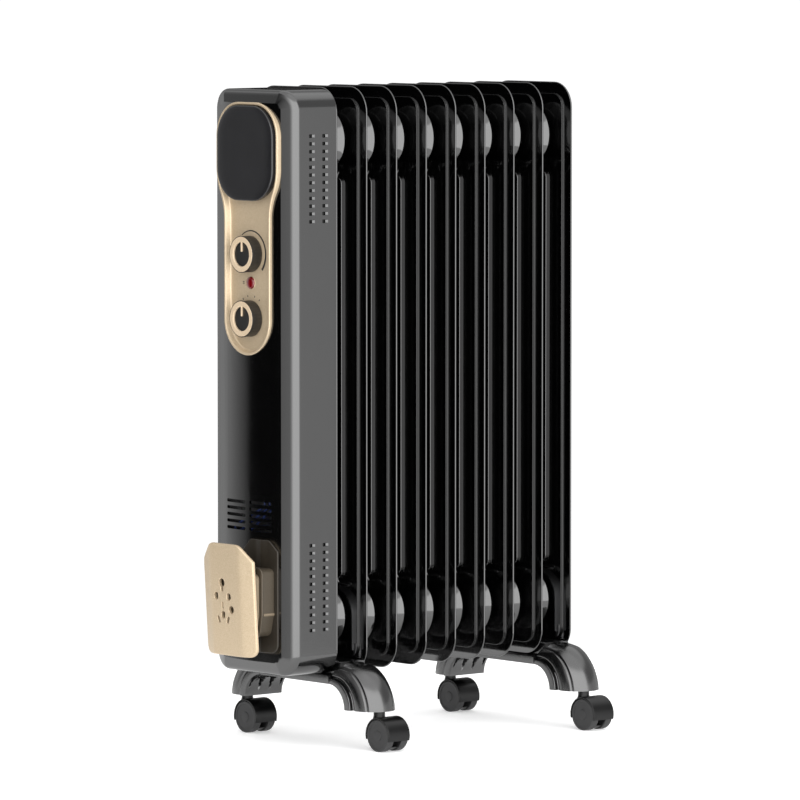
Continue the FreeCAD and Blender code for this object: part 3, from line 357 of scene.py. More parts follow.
# ------------------------------------------------------------------ fins
fin_low, fin_high = sides("fin_2")
PITCH = midway("fin_3", 1) - midway("fin_2", 1)
FIRST = midway("fin_2", 1) - PITCH                      # the seam plane of the first fin
FIN_HALF, FIN_LOW, FIN_TOP, FIN_CORNER = fin_high[0], fin_low[2], fin_high[2], 24.5
FLANGE, FIELD, BEAD, CHANNEL = 0.8, 2.8, 3.4, 8.4       # heights over the seam plane
BEAD_X, BEAD_HALF, BEAD_LOW, BEAD_TOP, BEAD_CORNER = 30.0, 13.0, 147.5, 542.2, 9.0
CHANNEL_X, CHANNEL_HALF, CHANNEL_LOW, CHANNEL_TOP = 24.3, 6.5, 155.4, 534.3
NECK_FOOT, NECK_WAIST, NECK_SWEEP = 29.4, 25.4, 32.4
HEADERS = (118.0, 569.0)


def fin_outline(inset):
    """Edge of a fin, moved inwards."""
    return rounded_box(-FIN_HALF + inset, FIN_HALF - inset, FIN_LOW + inset, FIN_TOP - inset,
                       FIN_CORNER - inset, 10)


def bead_outline(sign, inset):
    """Edge of the raised bead round a channel, moved inwards."""
    half = BEAD_HALF - inset
    return rounded_box(BEAD_X * sign - half, BEAD_X * sign + half, BEAD_LOW + inset, BEAD_TOP - inset,
                       BEAD_CORNER - inset, 9)


def channel_outline(sign, inset):
    """Edge of an oil channel, moved inwards."""
    half = CHANNEL_HALF - inset
    return rounded_box(CHANNEL_X * sign - half, CHANNEL_X * sign + half, CHANNEL_LOW + inset,
                       CHANNEL_TOP - inset, half, 9)


def neck_radius(y):
    """Radius of a header neck at a distance from the seam plane."""
    return NECK_WAIST + NECK_SWEEP - math.sqrt(NECK_SWEEP ** 2 - (PITCH / 2 - y) ** 2)


def fin_sheet(form, seam, side, necks):
    """One pressed sheet, standing off the seam plane along side."""
    def depth(points, d):
        return upright(form, points, side * d)

    # (inset from the outline, height): rounded hem, flat flange, then the step up to the field
    section = [(0.05, 0.28), (0.2, 0.54), (0.42, 0.7), (0.75, FLANGE), (1.3, FLANGE), (9.6, FLANGE)]
    section += [(11.2, FLANGE), (11.28, 0.9), (11.3, 1.2), (11.35, 2.5), (11.45, 2.75), (11.7, FIELD),
                (12.9, FIELD)]
    rings = [seam] + [depth(fin_outline(inset), d) for inset, d in section]
    form.skins(rings)
    holes = []
    for sign in (-1, 1):
        bead = [(-0.3, FIELD)] + s_curve(-0.1, FIELD, 3.2, BEAD - FIELD, 5)
        rings_bead = [depth(bead_outline(sign, inset), d) for inset, d in bead]
        form.skins(rings_bead)
        holes.append(rings_bead[0])
        dome = [(-0.25, BEAD), (0.0, 3.5), (0.1, 4.0), (0.25, 7.4), (0.5, 7.85), (0.95, 8.1), (2.0, 8.25),
                (6.3, CHANNEL)]
        rings_dome = [depth(channel_outline(sign, inset), d) for inset, d in dome]
        form.cup(rings_dome)
        form.fill(rings_bead[-1], rings_dome[0])
    for level in HEADERS:
        if necks:
            sweep = [(NECK_FOOT + 0.7, FIELD), (NECK_FOOT + 0.3, FIELD + 0.08), (NECK_FOOT, FIELD + 0.4)]
            steps = 14
            for i in range(1, steps + 1):
                y = FIELD + 0.4 + (PITCH / 2 - 0.3 - FIELD - 0.4) * i / steps
                sweep.append((neck_radius(y), y))
            sweep.append((NECK_WAIST - 0.25, PITCH / 2))
        else:
            sweep = [(29.9, FIELD), (29.6, 2.85), (29.3, 3.1), (28.9, 5.0)]
            sweep += [(28.6 - 3.4 * (1 - math.cos(math.radians(a))), 7.2 + 3.4 * math.sin(math.radians(a)))
                      for a in (0, 15, 30, 45, 60, 75, 90)]
            sweep += [(22.0, 10.65), (20.5, 10.3), (19.0, 10.2)]
        rings_hub = [depth(circle(0.0, level, r), d) for r, d in sweep]
        form.skins(rings_hub)
        if not necks:
            form.fill(rings_hub[-1])
        holes.append(rings_hub[0])
    form.fill(rings[-1], *holes)


def fin_mesh(name, body, index, last):
    form = Form()
    seam = upright(form, fin_outline(0.0), 0.0)
    fin_sheet(form, seam, -1, True)
    fin_sheet(form, seam, 1, not last)
    return form.piece(name, body, "enamel", replaces=(f"fin_{index}",),
                      at=(0.0, FIRST + PITCH * (index - 1), 0.0))


first_fin = fin_mesh("fin_1_pressed", "heater", 1, False)
for index in range(2, 9):
    settle(first_fin.data, f"fin_{index}_pressed", "heater", ("enamel",), (f"fin_{index}",),
           (0.0, FIRST + PITCH * (index - 1), 0.0))
fin_mesh("fin_9_pressed", "heater", 9, True)


# ------------------------------------------------------------------ control case
case_low, case_high = sides("case_shell")
CASE_HALF, CASE_LOW, CASE_TOP, CASE_CORNER = case_high[0], case_low[2], case_high[2], 19.5
CASE_REAR, CASE_FRONT, CROWN = case_high[1], round(case_low[1], 3), 218.0
EDGE, BRIM, FACET, FACET_TOP = 8.8, 16.2, 14.3, 12.4
AXIS = CASE_FRONT + CROWN
EDGE_TURNS = (0, 8, 18, 30, 42, 55, 69)
CORNER_STEPS, CUTS, CUT_PITCH, CUT_SHIFT = 12, 11, 4.0, 0.37
LOUVRE_TOPS, LOUVRE_ROWS, LOUVRE_PITCH, LOUVRE_Y = (575.2, 192.5), 12, 7.25, (-138.3, -122.25)
# one louvre, from its mouth inwards: half its depth, half its height, distance in, corner radius
LOUVRE = ((3.4, 1.65, 0.0, 0.7), (2.9, 1.45, 0.55, 0.5), (1.25, 1.3, 1.35, 0.3), (1.1, 1.25, 2.2, 0.3))
GRILLE_TOP, GRILLE_ROWS, GRILLE_PITCH, GRILLE_X = 231.0, 5, 6.3, (-18.0, 18.0)
SLOT_HALF, SLOT_HIGH, SLOT_CORNER, CASE_SKIN = 15.0, 1.5, 1.4, 2.2


def crown_y(x):
    """Front of the crowned case at x."""
    return AXIS - math.sqrt(CROWN ** 2 - x * x)


def case_outline(inset):
    """Edge of the case, moved inwards."""
    return rounded_box(-CASE_HALF + inset, CASE_HALF - inset, CASE_LOW + inset, CASE_TOP - inset,
                       CASE_CORNER - inset, CORNER_STEPS)


def side_louvres():
    """Middles of the louvres of one side, as (y, z)."""
    for top in LOUVRE_TOPS:
        for y in LOUVRE_Y:
            for row in range(LOUVRE_ROWS):
                yield y, top - LOUVRE_PITCH * row


# the panel: a stem with a round foot, a shoulder that bends out and back in, and a head with round corners
panel_low, panel_high = sides("control_panel")
STEM_HALF, SHOULDER_LOW, SHOULDER_TOP, BEND = 33.7, 497.0, 545.0, 53.8
HEAD_HALF, HEAD_CORNER, PANEL_LAP = panel_high[0], 32.0, 1.2
STEM_FOOT, HEAD_CORNER_Z = panel_low[2] + STEM_HALF, panel_high[2] - HEAD_CORNER


def panel_points(inset, steps=7):
    """The control panel's outline, moved inwards."""
    swing = math.degrees(math.asin((SHOULDER_TOP - SHOULDER_LOW) / 2 / BEND))
    right = arc(STEM_HALF + BEND, SHOULDER_LOW, BEND + inset, 180, 180 - swing, steps)
    right += arc(HEAD_HALF - BEND, SHOULDER_TOP, BEND - inset, -swing, 0, steps)
    right += arc(HEAD_HALF - HEAD_CORNER, HEAD_CORNER_Z, HEAD_CORNER - inset, 0, 90, 12)
    left = [(-x, z) for x, z in reversed(right)]
    return right + left + arc(0.0, STEM_FOOT, STEM_HALF - inset, 180, 360, 30)


def case_piece():
    """The case: walls with louvres, rounded edge, facet, and crowned front with window and grille."""
    form = Form()
    rings = [upright(form, case_outline(inset), CASE_REAR + y)
             for inset, y in ((CASE_SKIN, -12.0), (CASE_SKIN, 0.0), (0.5, 0.0), (0.15, -0.15), (0.0, -0.5))]
    # the rounded edge between the walls and the crowned front, then the flat facet beside the crown
    for turn in EDGE_TURNS:
        inset = EDGE * (1 - math.cos(math.radians(turn)))
        brim = CASE_FRONT + BRIM - EDGE * math.sin(math.radians(turn)) - crown_y(CASE_HALF - inset)
        rings.append(form.loop([(x, crown_y(x) + brim, z) for x, z in case_outline(inset)]))
    facet = rounded_box(FACET - CASE_HALF, CASE_HALF - FACET, CASE_LOW + FACET_TOP, CASE_TOP - FACET_TOP,
                        CASE_CORNER - FACET_TOP, CORNER_STEPS)
    rings.append(form.loop([(x, crown_y(x), z) for x, z in facet]))
    form.skins(rings[:5])
    form.skins(rings[5:])
    # side walls with their louvres, between the rear rim and the rounding
    rim, start = rings[4], rings[5]
    corners = CORNER_STEPS + 1
    for i in range(len(rim)):
        j = (i + 1) % len(rim)
        if i % corners != corners - 1 or i // corners in (1, 3):
            form.face((rim[i], rim[j], start[j], start[i]))
    for a, b in ((corners - 1, corners), (3 * corners - 1, 3 * corners)):
        wall = [rim[a], rim[b], start[b], start[a]]
        x = wall[0].co.x
        inward = -math.copysign(1.0, x)
        holes = []
        for y, z in side_louvres():
            lips = []
            for half_y, half_z, deep, radius in LOUVRE:
                lip = rounded_box(y - half_y, y + half_y, z - half_z, z + half_z, radius, 3)
                lips.append(form.loop([(x + inward * deep, py, pz) for py, pz in lip]))
            form.skins(lips)
            holes.append(lips[0])
        form.fill(wall, *holes)
    # crowned front with the panel's window and the grille
    front = rings[-1]
    bounds_loop = [(v.co.x, v.co.z) for v in front]
    window = panel_points(PANEL_LAP)
    slots = []
    for row in range(GRILLE_ROWS):
        z = GRILLE_TOP - GRILLE_PITCH * row
        for x in GRILLE_X:
            slots.append(rounded_box(x - SLOT_HALF, x + SLOT_HALF, z - SLOT_HIGH, z + SLOT_HIGH,
                                     SLOT_CORNER, 4))
    flat = Form()
    loops = [flat.loop([(x, 0.0, z) for x, z in points]) for points in (bounds_loop, window, *slots)]
    flat.fill(*loops)
    for i in range(-CUTS, CUTS + 1):
        geometry = flat.bm.verts[:] + flat.bm.edges[:] + flat.bm.faces[:]
        bmesh.ops.bisect_plane(flat.bm, geom=geometry, dist=0.001,
                               plane_co=(i * CUT_PITCH + CUT_SHIFT, 0, 0), plane_no=(1, 0, 0))
    for vertex in flat.bm.verts:
        vertex.co.y = crown_y(vertex.co.x)
    kept = {v: form.bm.verts.new(v.co) for v in flat.bm.verts}
    for face in flat.bm.faces:
        form.face([kept[v] for v in face.verts])
    for points in slots:
        mouth = form.loop([(x, crown_y(x), z) for x, z in points])
        throat = form.loop([(x, crown_y(x) + CASE_SKIN, z) for x, z in points])
        form.skin(mouth, throat)
    flat.bm.free()
    form.piece("case_shell_moulded", "heater", "case_plastic", replaces=("case_shell",), crease=30.0)


case_piece()


def case_lining():
    """Dull inside of the case, seen only through its slots."""
    form = Form()
    rings = [upright(form, case_outline(3.0), CASE_REAR - 1.0), upright(form, case_outline(3.0), -148.0),
             upright(form, case_outline(14.0), -159.0)]
    form.skins(rings)
    form.piece("case_lining", "heater", "case_plastic", "dial_plastic")


case_lining()


# ------------------------------------------------------------------ control panel
RIM_Y, FLOOR_Y = panel_low[1], sides("indicator_lens")[1][1]


def panel_piece():
    """The panel as a tray with a thin bright rim."""
    form = Form()
    section = [(PANEL_LAP, -161.0), (0.35, -162.5), (0.0, -164.5), (0.0, -168.2), (0.12, -168.6),
               (0.35, -168.88), (0.7, RIM_Y), (1.5, RIM_Y), (1.95, -168.9), (2.3, -168.55), (2.9, -167.3),
               (3.9, -164.9), (4.4, -164.1), (5.0, -163.72), (5.8, FLOOR_Y), (7.0, FLOOR_Y)]
    rings = [upright(form, panel_points(inset), y) for inset, y in section]
    form.cup(rings)
    form.piece("control_panel_tray", "heater", "champagne", replaces=("control_panel",), crease=50.0)


panel_piece()


def badge_piece():
    """The plain glossy plate on the panel's head."""
    form = Form()
    (_, _, low), (half, _, top) = sides("badge_plate")
    corner = 30.0
    section = [(2.0, FLOOR_Y), (2.0, -167.1), (0.6, -167.2), (0.15, -167.5), (0.0, -168.0), (0.0, -170.7),
               (0.2, -171.2), (0.6, -171.55), (1.2, -171.75), (2.6, -171.95), (6.0, -172.07), (12.0, -172.1)]
    rings = []
    for inset, y in section:
        outline = rounded_box(inset - half, half - inset, low + inset, top - inset, corner - inset, 12)
        rings.append(upright(form, outline, y))
    form.cup(rings)
    form.piece("badge_plate_gloss", "heater", "badge_plastic", replaces=("badge_plate",), crease=40.0)


badge_piece()


def turned(name, body, slot, profile, y, z, replaces=(), steps=96):
    """A form turned about an axis along Y in the middle plane; the profile is (radius, depth along +Y)."""
    form = Form()
    rings = []
    for radius, deep in profile:
        if radius < 0.01:
            rings.append([form.bm.verts.new((0.0, y + deep, z))])
        else:
            rings.append(upright(form, circle(0.0, z, radius, steps), y + deep))
    for a, b in zip(rings, rings[1:]):
        if len(a) == 1 or len(b) == 1:
            tip, ring = (a[0], b) if len(a) == 1 else (b[0], a)
            for i in range(len(ring)):
                form.face((ring[i], ring[(i + 1) % len(ring)], tip))
        else:
            form.skin(a, b)
    return form.piece(name, body, slot, replaces=replaces, crease=35.0)


THERMOSTAT_Z, SELECTOR_Z = midway("thermostat_knob", 2), midway("selector_knob", 2)
LAMP_Z, DIAL_FACE, FLUTES = midway("indicator_lens", 2), sides("selector_knob_ring")[0][1], 40
for dial, level in (("thermostat", THERMOSTAT_Z), ("selector", SELECTOR_Z)):
    body = dial + "_dial"
    form = Form()
    count = 120
    knob = [(15.9, -164.0, 0.0), (16.9, -164.1, 0.0), (17.1, -164.5, 0.3), (17.05, -168.0, 0.3),
            (17.0, -172.3, 0.3), (17.2, -172.6, 0.0), (17.25, -175.4, 0.0), (17.1, -175.7, 0.0),
            (16.75, -175.8, 0.0), (16.65, -175.5, 0.0), (16.6, -172.9, 0.0), (11.9, -172.9, 0.0)]
    rings = []
    for radius, y, flute in knob:
        ring = []
        for i in range(count):
            a = 2 * math.pi * i / count
            r = radius - flute * 0.5 * (1 - math.cos(a * FLUTES))
            ring.append((r * math.cos(a), y, level + r * math.sin(a)))
        rings.append(form.loop(ring))
    form.skins(rings)
    disc = [(11.4, -172.9), (11.4, -173.8), (11.2, -174.0), (10.8, -173.9), (9.0, -173.8)]
    rings = [upright(form, circle(0.0, level, r, 96), y) for r, y in disc]
    form.cup(rings)
    form.piece(f"{dial}_knob_grip", body, "dial_plastic", replaces=(f"{dial}_knob",), crease=42.0)
    turned(f"{dial}_ring_gold", body, "dial_gold",
           [(11.55, 2.9), (11.55, 0.9), (11.6, 0.55), (11.9, 0.25), (12.4, 0.08), (13.2, 0.0), (15.9, 0.0),
            (16.35, 0.06), (16.55, 0.3), (16.55, 2.9), (11.55, 2.9)],
           DIAL_FACE, level, replaces=(f"{dial}_knob_ring",))
    form = Form()
    bar = [(0.8, -0.9), (0.8, 0.5), (0.62, 0.72), (0.3, 0.8)]
    rings = [upright(form, rounded_box(-h, h, level + 2.4 + (0.8 - h), level + 11.9 - (0.8 - h), h * 0.98, 5),
                     -174.9 - rise) for h, rise in bar]
    form.cup(rings)
    form.piece(f"{dial}_pointer", body, "dial_gold")

turned("indicator_lens_dome", "heater", "lens",
       [(5.75, 0.0), (5.75, -0.6), (5.6, -1.0), (5.2, -1.45), (4.4, -1.9), (3.2, -2.2), (1.7, -2.36),
        (0.0, -2.4)], FLOOR_Y, LAMP_Z, replaces=("indicator_lens",), steps=64)
turned("indicator_bezel", "heater", "champagne",
       [(5.8, 0.0), (5.85, -0.3), (6.05, -0.4), (6.3, -0.3), (6.5, 0.0)], FLOOR_Y, LAMP_Z, steps=64)


def print_marks():
    """Plain printed marks: a swelling arc round the thermostat, ticks at the power dial, bars by the lamp."""
    form = Form()
    lifted = 0.06

    def strip(*edges):
        form.skin(*[upright(form, edge, FLOOR_Y - lifted) for edge in edges], closed=False)

    start, swing, radius, steps = 128, 170, 21.8, 60
    outer, inner = [], []
    for i in range(steps + 1):
        t = i / steps
        a = math.radians(start - swing * t)
        half = 0.4 + 0.8 * t
        outer.append(((radius + half) * math.cos(a), THERMOSTAT_Z + (radius + half) * math.sin(a)))
        inner.append(((radius - half) * math.cos(a), THERMOSTAT_Z + (radius - half) * math.sin(a)))
    strip(outer, inner)
    tick_from, tick_to, tick_half = 20.4, 22.2, 0.5
    for angle in (123, 103, 75, 55):
        a = math.radians(angle)
        along = Vector((math.cos(a), math.sin(a)))
        across = Vector((-along.y, along.x)) * tick_half
        ends = [Vector((0.0, SELECTOR_Z)) + along * r for r in (tick_from, tick_to)]
        strip([tuple(e + across) for e in ends], [tuple(e - across) for e in ends])
    bar_left, bar_right, bar_half = -12.2, -9.6, 0.4
    for level in (LAMP_Z - 0.8, LAMP_Z + 0.8):
        strip([(bar_left, level + bar_half), (bar_right, level + bar_half)],
              [(bar_left, level - bar_half), (bar_right, level - bar_half)])
    form.piece("panel_marks", "heater", "champagne", "print", weighted=False)


print_marks()


# ------------------------------------------------------------------ cord winder
def sheet_form(outline, holes, thick, bevel, spacing, lift, first=0.21):
    """A bevelled sheet with rimmed holes, cut into strips and then lifted to y + lift(x)."""
    form = Form()
    front = [(bevel, 0.0), (0.55 * bevel, 0.08 * bevel), (0.2 * bevel, 0.35 * bevel), (0.0, bevel),
             (0.0, thick - 0.4), (0.4, thick)]
    rings = [upright(form, outline(inset), y) for inset, y in front]
    form.skins(rings)
    faces, backs = [], []
    for hole in holes:
        rims = [upright(form, hole(out), y)
                for out, y in ((0.55, 0.0), (0.2, 0.12), (0.0, 0.5), (0.0, thick))]
        form.skins(rims)
        faces.append(rims[0])
        backs.append(rims[-1])
    form.fill(rings[0], *faces)
    form.fill(rings[-1], *backs)
    reach = max(abs(v.co.x) for v in form.bm.verts)
    for i in range(-int(reach / spacing), int(reach / spacing) + 1):
        geometry = form.bm.verts[:] + form.bm.edges[:] + form.bm.faces[:]
        bmesh.ops.bisect_plane(form.bm, geom=geometry, dist=0.001, plane_co=(i * spacing + first, 0, 0),
                               plane_no=(1, 0, 0))
    for vertex in form.bm.verts:
        vertex.co.y += lift(vertex.co.x)
    return form


def soft_corners(points, radius, steps=5):
    """A polygon with each corner rounded; a corner may carry its own radius as a third value."""
    rounded = []
    for i, corner in enumerate(points):
        here = Vector(corner[:2])
        before, after = Vector(points[i - 1][:2]), Vector(points[(i + 1) % len(points)][:2])
        inward, outward = (before - here).normalized(), (after - here).normalized()
        half = inward.angle(outward) / 2
        size = corner[2] if len(corner) > 2 else radius
        reach = size / math.tan(half)
        centre = here + (inward + outward).normalized() * (size / math.sin(half))
        start, stop = here + inward * reach - centre, here + outward * reach - centre
        angle = start.angle(stop)
        for k in range(steps + 1):
            t = k / steps
            way = start * math.sin((1 - t) * angle) + stop * math.sin(t * angle)
            rounded.append(tuple(centre + way / math.sin(angle)))
    return rounded


PLATE_X, PLATE_Y, PLATE_Z = midway("winder_front_plate", 0), -193.8, 140.5
PLATE_HALF, PLATE_HIGH, PLATE_TILT = sides("winder_front_plate")[1][0] - PLATE_X, 53.0, 3.4
PLATE_FLAT, PLATE_SLOPE, PLATE_THICK = 21.0, 0.345, 3.0
plate_turn = Matrix.Translation((PLATE_X, PLATE_Y, PLATE_Z))
plate_turn = plate_turn @ Matrix.Rotation(math.radians(PLATE_TILT), 4, "X")
HOLES_X = -4.6          # the middle of the parking holes, in the plate's own coordinates


def plate_outline(inset):
    """Edge of the winder's front plate, moved inwards."""
    h, v = PLATE_HALF - inset, PLATE_HIGH - inset
    cut = 16.0 - 0.586 * inset
    return soft_corners([(h, -v, 8.0 - inset), (h, v - cut, 2.5), (h - cut, v), (cut - h, v), (-h, v - cut),
                         (-h, -v, 8.0 - inset)], 11.0)


def plate_lift(x):
    """Depth of the plate's bent margins, with a soft crease."""
    over = abs(x) - PLATE_FLAT
    return PLATE_SLOPE * (math.sqrt(over * over + 9.0) + over) / 2 - 0.03


def keyhole(out):
    radius, half = 4.0 + out, 1.5 + out
    open_angle = math.degrees(math.asin(half / radius))
    points = arc(HOLES_X, 15.9, radius, open_angle - 90, 270 - open_angle, 22)
    return points + [(HOLES_X - half, 7.9), (HOLES_X - half + 0.4, 7.5 - out),
                     (HOLES_X + half - 0.4, 7.5 - out), (HOLES_X + half, 7.9)]


def d_outline(x, z, radius, flat, out):
    """A round hole with a flat side at x + flat."""
    grown = radius + out
    side = math.copysign(1.0, flat)
    swing = math.degrees(math.acos((abs(flat) + out) / grown))
    middle = 180 if side > 0 else 0
    return arc(x, z, grown, middle - 180 + swing, middle + 180 - swing, 18)


def leaning(x, z, wide, high, lean, out):
    turn = math.radians(lean)
    return [(x + px * math.cos(turn) + pz * math.sin(turn), z - px * math.sin(turn) + pz * math.cos(turn))
            for px, pz in rounded_box(-wide / 2 - out, wide / 2 + out, -high / 2 - out, high / 2 + out,
                                      min(0.9, wide / 2 - 0.1) + out, 4)]


plate_holes = [
    keyhole,
    lambda out: d_outline(-13.4, 3.0, 3.4, 2.1, out),
    lambda out: d_outline(4.4, 3.0, 3.4, -2.1, out),
    lambda out: leaning(HOLES_X, -5.65, 1.6, 6.7, 0.0, out),
    lambda out: circle(7.8, -9.0, 3.6 + out, 28),
    lambda out: rounded_box(HOLES_X - 2.65 - out, HOLES_X + 2.65 + out, -17.9 - out, -11.1 + out,
                            2.4 + out, 6),
    lambda out: leaning(-11.3, -19.1, 3.0, 6.6, -20.0, out),
    lambda out: leaning(2.3, -19.1, 3.0, 6.6, 20.0, out),
]
plate = sheet_form(plate_outline, plate_holes, PLATE_THICK, 1.1, 1.5, plate_lift)
plate.piece("winder_plate_bent", "heater", "champagne", replaces=("winder_front_plate",), turn=plate_turn,
            crease=48.0)


BACK_THICK, EAR_X, CREASE_X = 2.5, 18.0, 21.5
(_, _, BACK_LOW), (BACK_HALF, _, BACK_TOP) = sides("winder_back_plate")


def back_outline(inset):
    side, low, shoulder, top = BACK_HALF - inset, BACK_LOW + inset, 187.0 - inset, BACK_TOP - inset
    ear = 12.5 - 0.4 * inset
    return soft_corners([(side, low, 8.0 - inset), (side, shoulder, 3.0), (EAR_X + ear, top, 6.0),
                         (EAR_X - ear, top, 2.5), (EAR_X - ear - 10, shoulder, 2.0), (10 - side, shoulder),
                         (-side, shoulder - 10), (-side, low, 8.0 - inset)], 3.0)


def back_lift(x):
    """The crowned case under the plate, and the shallow ridge up the middle of its ear."""
    return crown_y(x) - BACK_THICK + min(1.2, 0.16 * abs(x - CREASE_X))


# the back plate wears the darkest champagne copy: its near-black brown is painted shade
sheet_form(back_outline, (), BACK_THICK, 0.7, 2.0, back_lift, CREASE_X - 20.0).piece(
    "winder_back_shaped", "heater", "champagne", "bronze_dark", replaces=("winder_back_plate",), crease=14.0)


TAPER_Z, RIB_Z = 127.5, 128.0


def drum_outline(half, low, top, taper):
    """Outline of the drum: tight upper corners and sides that draw in below the rib."""
    def at(inset):
        h = half - inset
        return soft_corners([(h - taper, low + inset, 7.0 - inset), (h, TAPER_Z),
                             (h, top - inset, 5.5 - inset), (-h, top - inset, 5.5 - inset),
                             (-h, TAPER_Z), (taper - h, low + inset, 7.0 - inset)], 6.0, 6)
    return at


(_, _, rear_low), (REAR_HALF, _, rear_top) = sides("winder_drum_rear")
(_, _, front_low), (FRONT_HALF, _, front_top) = sides("winder_drum_front")
rear_outline = drum_outline(REAR_HALF, rear_low, rear_top, 4.0)
front_outline = drum_outline(FRONT_HALF, front_low, front_top, 3.5)


def drum_rear():
    """The drum's rear half, with a thin lip towards the front half."""
    form = Form()
    section = [(0.0, -160.0), (0.0, -179.6), (0.1, -180.1), (-0.9, -180.4), (-1.2, -180.9), (-1.2, -181.5),
               (-0.9, -182.0), (0.4, -182.2), (0.9, -182.2)]
    rings = [upright(form, rear_outline(inset), y) for inset, y in section]
    form.cup(rings)
    # the rear half wears a dark champagne copy whose darkness is painted shade
    form.piece("winder_drum_rear_moulded", "heater", "champagne", "bronze_mid",
               replaces=("winder_drum_rear",), crease=45.0)


drum_rear()


def plate_back(x, z):
    """Depth of the rear face of the front plate."""
    lean = math.radians(PLATE_TILT)
    return PLATE_Y + (PLATE_THICK + plate_lift(x - PLATE_X)) / math.cos(lean) - (z - PLATE_Z) * math.tan(lean)


def drum_front():
    """The drum's front half, hollow, with its rim against the bent front plate."""
    form = Form()
    section = [(2.6, -181.8), (1.4, -182.6), (0.3, -182.9), (0.0, -183.4)]
    rings = [upright(form, front_outline(inset), y) for inset, y in section]
    for inset in (0.0, 2.4):
        rings.append(form.loop([(x, plate_back(x, z), z) for x, z in front_outline(inset)]))
    rings.append(upright(form, front_outline(2.6), -183.2))
    form.cup(rings)
    # the boss behind the parking holes
    boss = [upright(form, rounded_box(-20.0, 19.0, 114.0, 163.0, 4.0, 4), y) for y in (-183.1, -187.3)]
    form.cup(boss)
    # the front half and its boss wear a darker champagne copy whose darkness is painted shade
    form.piece("winder_drum_front_moulded", "heater", "champagne", "bronze", replaces=("winder_drum_front",),
               crease=45.0)


drum_front()


def drum_rib():
    """A low rib round the drum at the height where its sides start to draw in."""
    form = Form()
    section = [(0.0, -1.3), (0.45, -0.9), (0.7, 0.0), (0.45, 0.9), (0.0, 1.3)]
    for sign in (-1, 1):
        near_plate = plate_back(sign * (FRONT_HALF + 0.7), RIB_Z) + 0.2
        for half, near, far in ((REAR_HALF, -165.0, -179.4), (FRONT_HALF, -183.6, near_plate)):
            strips = []
            for rise, z in section:
                x = sign * (half + rise)
                strips.append(form.loop([(x, near, RIB_Z + z), (x, far, RIB_Z + z)]))
            form.skins(strips, closed=False)
    # the rib wears the same darker champagne copy, as painted shade
    form.piece("winder_drum_rib", "heater", "champagne", "bronze", crease=60.0)


drum_rib()


# ------------------------------------------------------------------ legs
LEG_PLACES = {which: midway("leg_" + which, 1) for which in ("front", "rear")}
leg_low, leg_high = sides("leg_front")
FOOT_Z, TIP_X, RIDGE = leg_low[2], leg_high[0], leg_high[2]
INNER_X, ARCH, SHOULDER, UNDER = 73.5, 23.0, 80.0, 59.5


def arc_through(start, stop, radius, steps):
    """Points of an arc that turns left from start to stop."""
    a, b = Vector(start), Vector(stop)
    chord = b - a
    reach = math.sqrt(radius * radius - chord.length_squared / 4)
    centre = (a + b) / 2 + Vector((-chord.y, chord.x)).normalized() * reach
    first = math.degrees(math.atan2(a.y - centre.y, a.x - centre.x))
    swing = 2 * math.degrees(math.asin(chord.length / 2 / radius))
    return [Vector(p) for p in arc(centre.x, centre.y, radius, first, first + swing, steps)]


def even(points, count):
    """The same line with points at even distances."""
    lengths = [0.0]
    for a, b in zip(points, points[1:]):
        lengths.append(lengths[-1] + (b - a).length)
    result, k = [], 0
    for i in range(count + 1):
        want = lengths[-1] * i / count
        while k < len(points) - 2 and lengths[k + 1] < want:
            k += 1
        t = (want - lengths[k]) / (lengths[k + 1] - lengths[k])
        result.append(points[k].lerp(points[k + 1], t))
    return result


def softened(points, rounds):
    """Corners of a line cut back, with both ends kept."""
    for _ in range(rounds):
        cut = [points[0]]
        for a, b in zip(points, points[1:]):
            cut += [a.lerp(b, 0.25), a.lerp(b, 0.75)]
        points = cut + [points[-1]]
    return points


FOOT_STEPS, INNER_STEPS, INNER_HALF, FOOT_WIDE = 40, 44, 22.0, 34.0
PETAL_X, PETAL_HALF, PETAL_TOP, PETAL_RIM, PETAL_SIDE, HOLLOW = 13.2, 6.5, 0.6, 0.66, 19.6, 6.0
foot_inner = even(arc_through((INNER_X, FOOT_Z), (INNER_X - ARCH, UNDER), ARCH, 24), FOOT_STEPS)
outer_line = arc_through((TIP_X, FOOT_Z), (SHOULDER, RIDGE - 2), 50.0, 12)
outer_line += [Vector((SHOULDER - 7, RIDGE - 1)), Vector((SHOULDER - 14, RIDGE)), Vector((59.2, RIDGE))]
foot_outer = even(softened(outer_line, 3), FOOT_STEPS)
# half of a foot's section: (edge it is measured from, distance, distance from the middle plane)
FOOT_SECTION = [
    ("in", 0.35, 22.6), ("in", 1.1, 23.0), ("in", 7.3, 23.0), ("in", 8.2, 22.7), ("in", 8.6, 21.8),
    ("in", 8.7, 19.4), ("in", 9.1, 18.7), ("in", 9.9, 18.4), ("in", 10.8, 18.5), ("in", 11.4, 19.1),
    ("in", 11.8, 19.9), ("in", 12.6, 20.4), ("in", 13.4, 20.6), ("out", 19.9, 20.6), ("out", 17.4, 20.4),
    ("out", 15.1, 20.0), ("out", 12.2, 19.0), ("out", 10.4, 18.1), ("out", 10.1, 17.2), ("out", 9.4, 16.5),
    ("out", 8.4, 16.2), ("out", 7.4, 16.1), ("out", 6.9, 15.8), ("out", 5.7, 14.6), ("out", 3.6, 12.0),
    ("out", 2.0, 9.3), ("out", 1.1, 7.0), ("out", 0.35, 4.3), ("out", 0.0, 1.5),
]


def flute_depth(y, height):
    """Hollows round three pointed petals in the inner face; height runs from 0 at the floor end to 1."""
    if height > PETAL_RIM or abs(y) > PETAL_SIDE:
        return 0.0
    wide = PETAL_HALF * math.sqrt(max(0.0, 1 - (height / PETAL_TOP) ** 1.4))
    gap = min(abs(y - middle) for middle in (-PETAL_X, 0.0, PETAL_X)) - wide
    return min(HOLLOW, max(0.0, 4.0 * gap))


